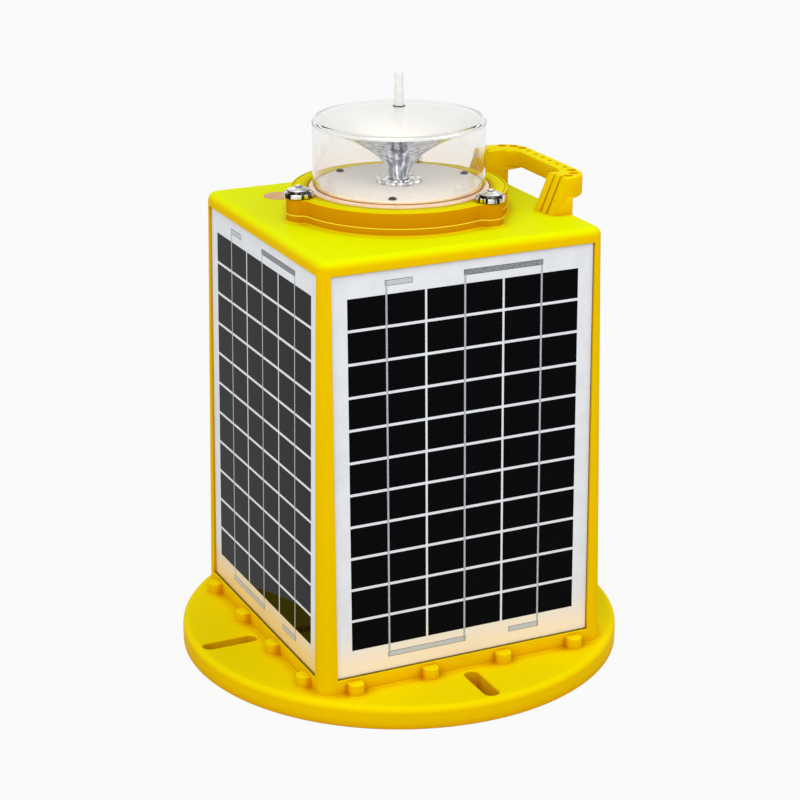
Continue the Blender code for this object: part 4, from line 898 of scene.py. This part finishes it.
def clear_wall():
    """Clear moulded plastic: a refracting wall, which light for shadows passes straight. Broad noise, the
    mould's flow, varies its smoothness, and its lower half is tinted warm as painted light from the
    peach bed."""
    made, tree, shader = finish("clear_moulded_polycarbonate", IOR=1.45, Transmission_Weight=1.0)
    flow = ramp(tree, noise(tree, object_place(tree), 30.0, 1.0), 0.0, 1.0, 0.0, 0.02, "LINEAR")
    tree.links.new(flow, shader.inputs["Roughness"])
    # Painted light: the lower wall is tinted warm.
    low = by_height(tree, PAINTED_WARMTH_TOP, WALL_LOW)
    tree.links.new(blend(tree, low, "#FBFAF8", "#FBF2E6"), shader.inputs["Base Color"])
    path = add(tree, "ShaderNodeLightPath")
    clear = add(tree, "ShaderNodeBsdfTransparent", inputs={"Color": linear("#FFFFFF")})
    mixed_surface(tree, path.outputs["Is Shadow Ray"], shader.outputs["BSDF"], clear.outputs["BSDF"])
    return made


# Vacuum plating over moulded plastic: bright, with soft darker streaks painted in as reflections.
chrome = chrome_with_painted_streaks("plated_chrome_painted_streaks", "#B4B8C0", "#F8F9FB", 0.16, 5.3)
# The caps are brushed after plating, so they shine softly; their faint streaks are painted reflections.
soft_chrome = chrome_with_painted_streaks("brushed_cap_chrome", "#C4C6C8", "#F6F6F3", 0.22, 9.0)
# Turned and plated bolt parts: a mirror with dark and bright bands painted round the rim, painted
# reflections.
chrome_painted_bands = chrome_with_painted_streaks("bolt_chrome_painted_bands", "#1E1B18", "#EDE9E0", 0.06, 4.0)
# Clear polycarbonate: nearly invisible from the front, with dark and bright lines where its wall turns, and
# a painted warm tint over its lower half.
polycarbonate = clear_wall()
# Silicone seen through the clear foot: pale peach with a wet gloss from the plastic over it.
peach_bed = mottled(finish("silicone_bed_under_clear_foot", Roughness=0.5, Coat_Weight=1.0,
                           Coat_Roughness=0.05), "#EDC7A2", "#F7DCBE", 7.0)
# White solder mask: an even, slightly waxy white with faint clouds from the copper under it.
solder_white = mottled(finish("white_solder_mask", Roughness=0.45, Specular_IOR_Level=0.2),
                       "#F9FAFC", "#FFFFFF", 9.0)
# Black oxide on steel: a soft dark sheen with a fine grain. The same black also colours the rings that stand
# in for shade at the caps and the spike's foot, a painted shade.
black_oxide_and_painted_shade = mottled(finish("black_oxide_steel", Metallic=0.4, Roughness=0.35),
                      "#0C0C0D", "#19191B", 0.6, 0.02)
# Satin white enamel inside the trumpet, greying towards the rim as a painted shade of the bowl.
funnel_white = mottled(finish("satin_white_funnel", Roughness=0.4, Specular_IOR_Level=0.25),
                       "#F3F1EB", "#F9F7F2", 6.0)
# Painted shade: the bowl greys towards its rim.
painted_rim_shade(funnel_white, "#E2E2E0")
# Milky polypropylene: light soaks in, so it looks soft and slightly uneven.
milky = mottled(finish("milky_polypropylene", Roughness=0.4), "#EAEAE4", "#F6F6F1", 5.0, 0.03)
# Tinted sensor window: a smooth tan disc with a thin gloss.
sensor_tan = mottled(finish("tinted_sensor_window", Roughness=0.3, Specular_IOR_Level=0.1),
                     "#D29C62", "#DEAC72", 7.0)

# %% Board and reflector
BOARD_LOW = 439.0
BOARD_TOP = 441.0
BOARD_RADIUS = 71.7
REFLECTOR_FOOT = 441.3
REFLECTOR_HEIGHT = 52.5
REFLECTOR_RADIUS = 74.4
REFLECTOR_FOOT_RADIUS = 8.4

board_profile = eased([[0, BOARD_LOW, 0], [BOARD_RADIUS, BOARD_LOW, 0.2], [BOARD_RADIUS, BOARD_TOP, 0.3],
                       [0, BOARD_TOP, 0]])
dress("led_circuit_board", turned(board_profile), solder_white, ("led_board",))


def trumpet(share):
    """Radius of the trumpet at a share of its height: it grows with the share's power of 2.2."""
    return REFLECTOR_FOOT_RADIUS + (REFLECTOR_RADIUS - REFLECTOR_FOOT_RADIUS) * share ** 2.2


share = np.linspace(0.0, 1.0, 48)
horn = np.stack([trumpet(share), REFLECTOR_FOOT + REFLECTOR_HEIGHT * share], axis=-1)
rim = horn[-1]
inner = share[14:]
bowl = np.stack([trumpet(inner) - 1.2, REFLECTOR_FOOT + REFLECTOR_HEIGHT * inner + 0.5], axis=-1)[::-1]
horn_profile = join([[[0.0, REFLECTOR_FOOT]], horn, [rim + [0.0, 0.25]],
                     bowl - [0.2, 0.45], [[0.0, bowl[-1, 1] - 0.45]]])
dress("trumpet_reflector", turned(horn_profile), chrome, ("reflector",), 0.9)
bowl_profile = join([[rim + [0.0, 0.3], rim + [-0.2, 0.6]], bowl + [0.0, 0.15],
                     [[0.0, bowl[-1, 1] + 0.15], [0.0, bowl[-1, 1] - 0.3]], (bowl - [0.1, 0.3])[::-1]])
dress("reflector_funnel", turned(closed(bowl_profile)), funnel_white, (), 0.9)

# %% Scalloped LED ring
RING_RADIUS = 21.2
RING_HOLE = 9.7
RING_LOBES = 8
LOBE_DEPTH = 2.2


def scalloped_ring():
    """Eight lobes: the outer radius is R - d (1 - |cos 4a|), and the profile's outer rows follow it."""
    angle = np.linspace(0.0, 2 * np.pi, 192, endpoint=False)
    outer = RING_RADIUS - LOBE_DEPTH * (1 - np.abs(np.cos(angle * RING_LOBES / 2)))
    inset = np.array([0.0, 0.0, 0.6, 1.6, 3.2, 5.2, 6.4, 7.6, 8.6])
    level = np.array([0.0, 1.6, 2.7, 3.4, 3.1, 2.2, 2.6, 3.3, 3.0]) + REFLECTOR_FOOT
    radius = np.maximum(outer[None] - inset[:, None], RING_HOLE)
    radius = join([radius, np.full((2, len(angle)), RING_HOLE), radius[:1]])
    level = join([level, [REFLECTOR_FOOT + 2.4, REFLECTOR_FOOT], level[:1]])
    return polar(radius, angle, level[:, None])


dress("scalloped_led_ring", scalloped_ring(), chrome, ("led_ring",))

# %% Board screws
SCREW_PLACES = around(65.8, np.radians([0, 120, 240]))


def copies(grid, places):
    """The same ring of points at several places."""
    shift = join([places, np.zeros((len(places), 1))], axis=1)
    return many(grid[None] + shift[:, None, None], True)


screw_profile = eased([[0, 441.0, 0], [3.6, 441.0, 0], [3.6, 442.3, 0.6], [2.2, 442.9, 0.2],
                       [1.9, 441.9, 0.1], [0, 441.8, 0]])
dress("board_screws", copies(turned(screw_profile, 32), SCREW_PLACES), black_oxide_and_painted_shade,
      ("board_screw_1", "board_screw_2", "board_screw_3"))

# %% [markdown]
# Clear lens. It is a drum of polycarbonate with a shallow dome, moulded in one piece with the foot
# that the washers clamp. Both skins are modelled, so the light bends in and out of a real wall.

# %% Clear lens
LENS_RADIUS = 77.5
LENS_WALL = 1.8
LENS_FOOT_RADIUS = 80.9
LENS_FOOT_LOW = 433.3
LENS_FOOT_TOP = 437.3
LENS_RIM = 498.0
LENS_APEX = 509.1
LENS_EDGE = 3.0


def lens_dome(radius, top):
    """Points over the dome: the height falls from the apex with the square of the radius."""
    return np.stack([radius, top + (LENS_APEX - LENS_RIM) * (1 - (radius / LENS_RADIUS) ** 2)], axis=-1)


outer_dome = lens_dome(np.linspace(0.0, LENS_RADIUS - LENS_EDGE, 24), LENS_RIM)
inner_dome = lens_dome(np.linspace(LENS_RADIUS - LENS_WALL - 2.0, 0.0, 24), LENS_RIM - LENS_WALL)
edge_r, crown = outer_dome[-1]
lens_profile = join([
    outer_dome,
    arc_profile((edge_r, crown - LENS_EDGE), LENS_EDGE, 84, 0, 9),
    [[LENS_RADIUS, WALL_LOW], [LENS_RADIUS - LENS_WALL, WALL_LOW]],
    arc_profile((inner_dome[0, 0], crown - LENS_EDGE - 2.0), 2.0, 0, 84, 7),
    inner_dome])
dress("clear_lens", turned(lens_profile, 192), polycarbonate, ("lens_cover",), 1.0)

# %% [markdown]
# The foot of the lens is bedded in peach silicone, which shows through it as one pale band, so the
# band is a turned piece of its own. A thin lip of silicone covers the gap between lens and board.

# %% Foot of the lens
foot_profile = join([
    arc_profile((LENS_RADIUS + 1.2, LENS_FOOT_TOP + 1.2), 1.2, 180, 270, 6),
    arc_profile((LENS_FOOT_RADIUS - 0.8, LENS_FOOT_TOP - 0.8), 0.8, 90, 0, 5),
    [[LENS_FOOT_RADIUS, LENS_FOOT_LOW], [LENS_RADIUS - LENS_WALL, LENS_FOOT_LOW],
     [LENS_RADIUS - LENS_WALL, WALL_LOW - 0.05], [LENS_RADIUS, WALL_LOW - 0.05]]])
lip_profile = eased([[71.9, 438.8, 0.1], [74.3, 438.8, 0.1], [74.3, 439.6, 0.3], [71.9, 439.6, 0.3]])
for name, profile in (("lens_foot_bed", foot_profile), ("board_edge_lip", lip_profile)):
    dress(name, turned(closed(profile), 192), peach_bed, (), 0.9)

# %% [markdown]
# Clamp bolts. Three bolts hold the lamp base on its pad, each with a broad washer and a low conical
# cap with a small button, over a hexagonal neck. A black ring under each cap's rim and round each
# button stands in for the shade in those creases: painted shade.

# %% Washers, necks and caps
NECK_LOW = 441.9
CAP_LOW = 443.1
CONE_TOP = 446.4
BOLT_PLACES = around(BOLT_CIRCLE, LUG_ANGLES)


def hexagonal_neck():
    """A hexagonal prism: the radius at angle a is R cos 30 / cos(a mod 60 - 30)."""
    angle = np.linspace(0.0, 2 * np.pi, 96, endpoint=False)
    hexagon = 9.6 * np.cos(np.pi / 6) / np.cos(angle % (np.pi / 3) - np.pi / 6)
    radius = np.array([0.0, 1.0, 1.0, 0.0])[:, None] * hexagon
    level = np.array([NECK_LOW, NECK_LOW, CAP_LOW + 0.2, CAP_LOW + 0.2])
    return polar(radius, angle, level[:, None])


washer_profile = eased([[6.5, 437.6, 0], [13.2, 437.6, 0.3], [13.2, 441.6, 0.9], [6.5, 441.6, 0.3],
                        [6.5, 437.6, 0]])
cap_profile = eased([[0, CAP_LOW, 0], [10.1, CAP_LOW, 0.3], [10.1, CAP_LOW + 0.9, 0.4],
                     [2.6, CONE_TOP, 0.3], [2.4, 447.6, 0.5], [0, 447.6, 0]])
rim_shade_ring = arc_profile((9.9, CAP_LOW + 0.1), 0.6, 0, 360, 13)
button_shade_ring = arc_profile((2.7, CONE_TOP + 0.1), 0.45, 0, 360, 9)
dress("clamp_washers", copies(turned(washer_profile, 64), BOLT_PLACES), chrome_painted_bands,
      ("washer_1", "washer_2", "washer_3"))
dress("bolt_caps", copies(turned(cap_profile, 72), BOLT_PLACES), soft_chrome,
      ("cap_bolt_1", "cap_bolt_2", "cap_bolt_3"), 0.5)
# Painted shade: black rings under the cap rims and round the buttons.
for name, profile in (("cap_rim_shade_rings", rim_shade_ring), ("button_shade_rings", button_shade_ring)):
    dress(name, copies(turned(profile, 72), BOLT_PLACES), black_oxide_and_painted_shade)
dress("bolt_necks", copies(hexagonal_neck(), BOLT_PLACES), chrome_painted_bands, (), 0.5)

# %% [markdown]
# Spike and sensor. A milky plastic rod on the dome keeps birds off, and a tinted window in the roof
# lets the light sensor see the sky.

# %% Bird spike and light sensor
SENSOR_PLACE = (-81.69, 85.91)

spike_profile = eased([[0, 539.9, 0], [3.7, 539.9, 0.8], [4.3, 509.4, 0.3], [0, 509.4, 0]])
dress("bird_spike_rod", turned(spike_profile, 48), milky, ("bird_spike",))
# Painted shade: a thin black ring stands for the dark line of the gap round the spike's foot.
spike_shade_profile = eased([[4.0, 508.9, 0], [5.6, 508.9, 0.1], [5.4, 509.5, 0.2], [4.0, 509.7, 0]])
dress("spike_foot_shade_ring", turned(closed(spike_shade_profile), 48), black_oxide_and_painted_shade, (), 0.9)
sensor_profile = eased([[0, 413.6, 0], [13.8, 413.6, 0.1], [13.8, 416.2, 0.4], [0, 416.2, 0]])
dress("light_sensor_window", turned(sensor_profile, 64, SENSOR_PLACE), sensor_tan,
      ("light_sensor",))

# %% [markdown]
# The rest. The bottom cover, its screws and gasket, the seal and the battery keep their packed
# solids, because flat plates and small screws have nothing to gain from a finer mesh.

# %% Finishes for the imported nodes
# Moulded rubber: matt black with the fine tooth of the mould.
rubber = mottled(finish("moulded_black_rubber", Roughness=0.75), "#161618", "#232326", 0.8, 0.05)
# Silicone: soft peach, a little uneven where it was pressed.
silicone = mottled(finish("soft_peach_silicone", Roughness=0.5), "#EAAA7E", "#F5BE97", 3.0, 0.05)
# Stainless steel with the fine lines that turning leaves, ten times finer along the screw's axis.
stainless = mottled(finish("turned_stainless_steel", Metallic=1.0, Roughness=0.28),
                    "#B4B5B7", "#D2D3D5", 2.0, 0.01, (1.0, 1.0, 10.0))
# The battery's case: dark plastic with a light leather grain that hides scratches.
battery_case = mottled(finish("grained_battery_case", Roughness=0.5),
                       "#24272B", "#31353A", 1.0, 0.08)
packed_finishes = (("cover_gasket", rubber), ("lens_seal", silicone), ("cover_screw", stainless),
                   ("battery", battery_case), ("bottom_cover", polyethylene))
for name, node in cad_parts.items():
    for start, surface in packed_finishes:
        if name.startswith(start):
            node.data.materials.clear()
            node.data.materials.append(surface)
print("dressed the packed nodes")

# %% [markdown]
# Studio. The photograph is a product shot on white with soft light from all sides. The world gives
# an even base light, and a broad lamp at the front left and a weaker one at the right shape the
# faces. The floor shows nearly white to the camera and in reflections, and keeps a faint shadow.

# %% Floor, world and lamps
FLOOR_HALF = 6000.0
FLOOR_LEVEL = -0.5
FLOOR_GLOW = 0.95


def lamp(name, place, target, size, power):
    """A square white area lamp that looks at a point."""
    light = bpy.data.lights.new(name, "AREA")
    light.size = size
    light.energy = power
    item = placed(name, light)
    item.location = place
    item.rotation_euler = (Vector(target) - Vector(place)).to_track_quat("-Z", "Y").to_euler()


def seen(tree):
    """1 for what the camera sees, itself, in a mirror or through glass, and 0 for all other light."""
    path = add(tree, "ShaderNodeLightPath")
    direct = maths(tree, "MAXIMUM", path.outputs["Is Camera Ray"], path.outputs["Is Glossy Ray"])
    return maths(tree, "MAXIMUM", direct, path.outputs["Is Transmission Ray"])


def white_stage():
    """The floor: plain white, mixed with a flat white where the camera, a mirror or glass sees it."""
    made, tree, shader = finish("white_floor", Base_Color=linear("#DCDCDE"), Roughness=0.9)
    glow = add(tree, "ShaderNodeEmission", inputs={"Color": linear("#FCFCFC"), "Strength": 1.0})
    share = maths(tree, "MULTIPLY", seen(tree), FLOOR_GLOW)
    mixed_surface(tree, share, shader.outputs["BSDF"], glow.outputs["Emission"])
    return made


h, z = FLOOR_HALF * MM, FLOOR_LEVEL * MM
floor_mesh = bpy.data.meshes.new("floor")
floor_mesh.from_pydata([(-h, -h, z), (h, -h, z), (h, h, z), (-h, h, z)], [], [(0, 1, 2, 3)])
floor_mesh.materials.append(white_stage())
placed("floor", floor_mesh)

world = bpy.data.worlds.new("studio")
bpy.context.scene.world = world
world.use_nodes = True
sky = world.node_tree
ambient = sky.nodes["Background"]
ambient.inputs["Color"].default_value = linear("#FFFFFF")
ambient.inputs["Strength"].default_value = 0.70
backdrop = add(sky, "ShaderNodeBackground", inputs={"Color": linear("#F9F9FA"), "Strength": 1.0})
mixed_surface(sky, seen(sky), ambient.outputs["Background"], backdrop.outputs["Background"], "World Output")

lamp("key_above", (-1.25, -1.3, 1.9), (0.0, 0.0, 0.3), 2.0, 24.0)
lamp("right_fill", (1.4, -1.1, 1.6), (0.0, 0.0, 0.25), 1.6, 9.0)
bpy.context.scene.view_settings.view_transform = "Standard"
print("studio ready")
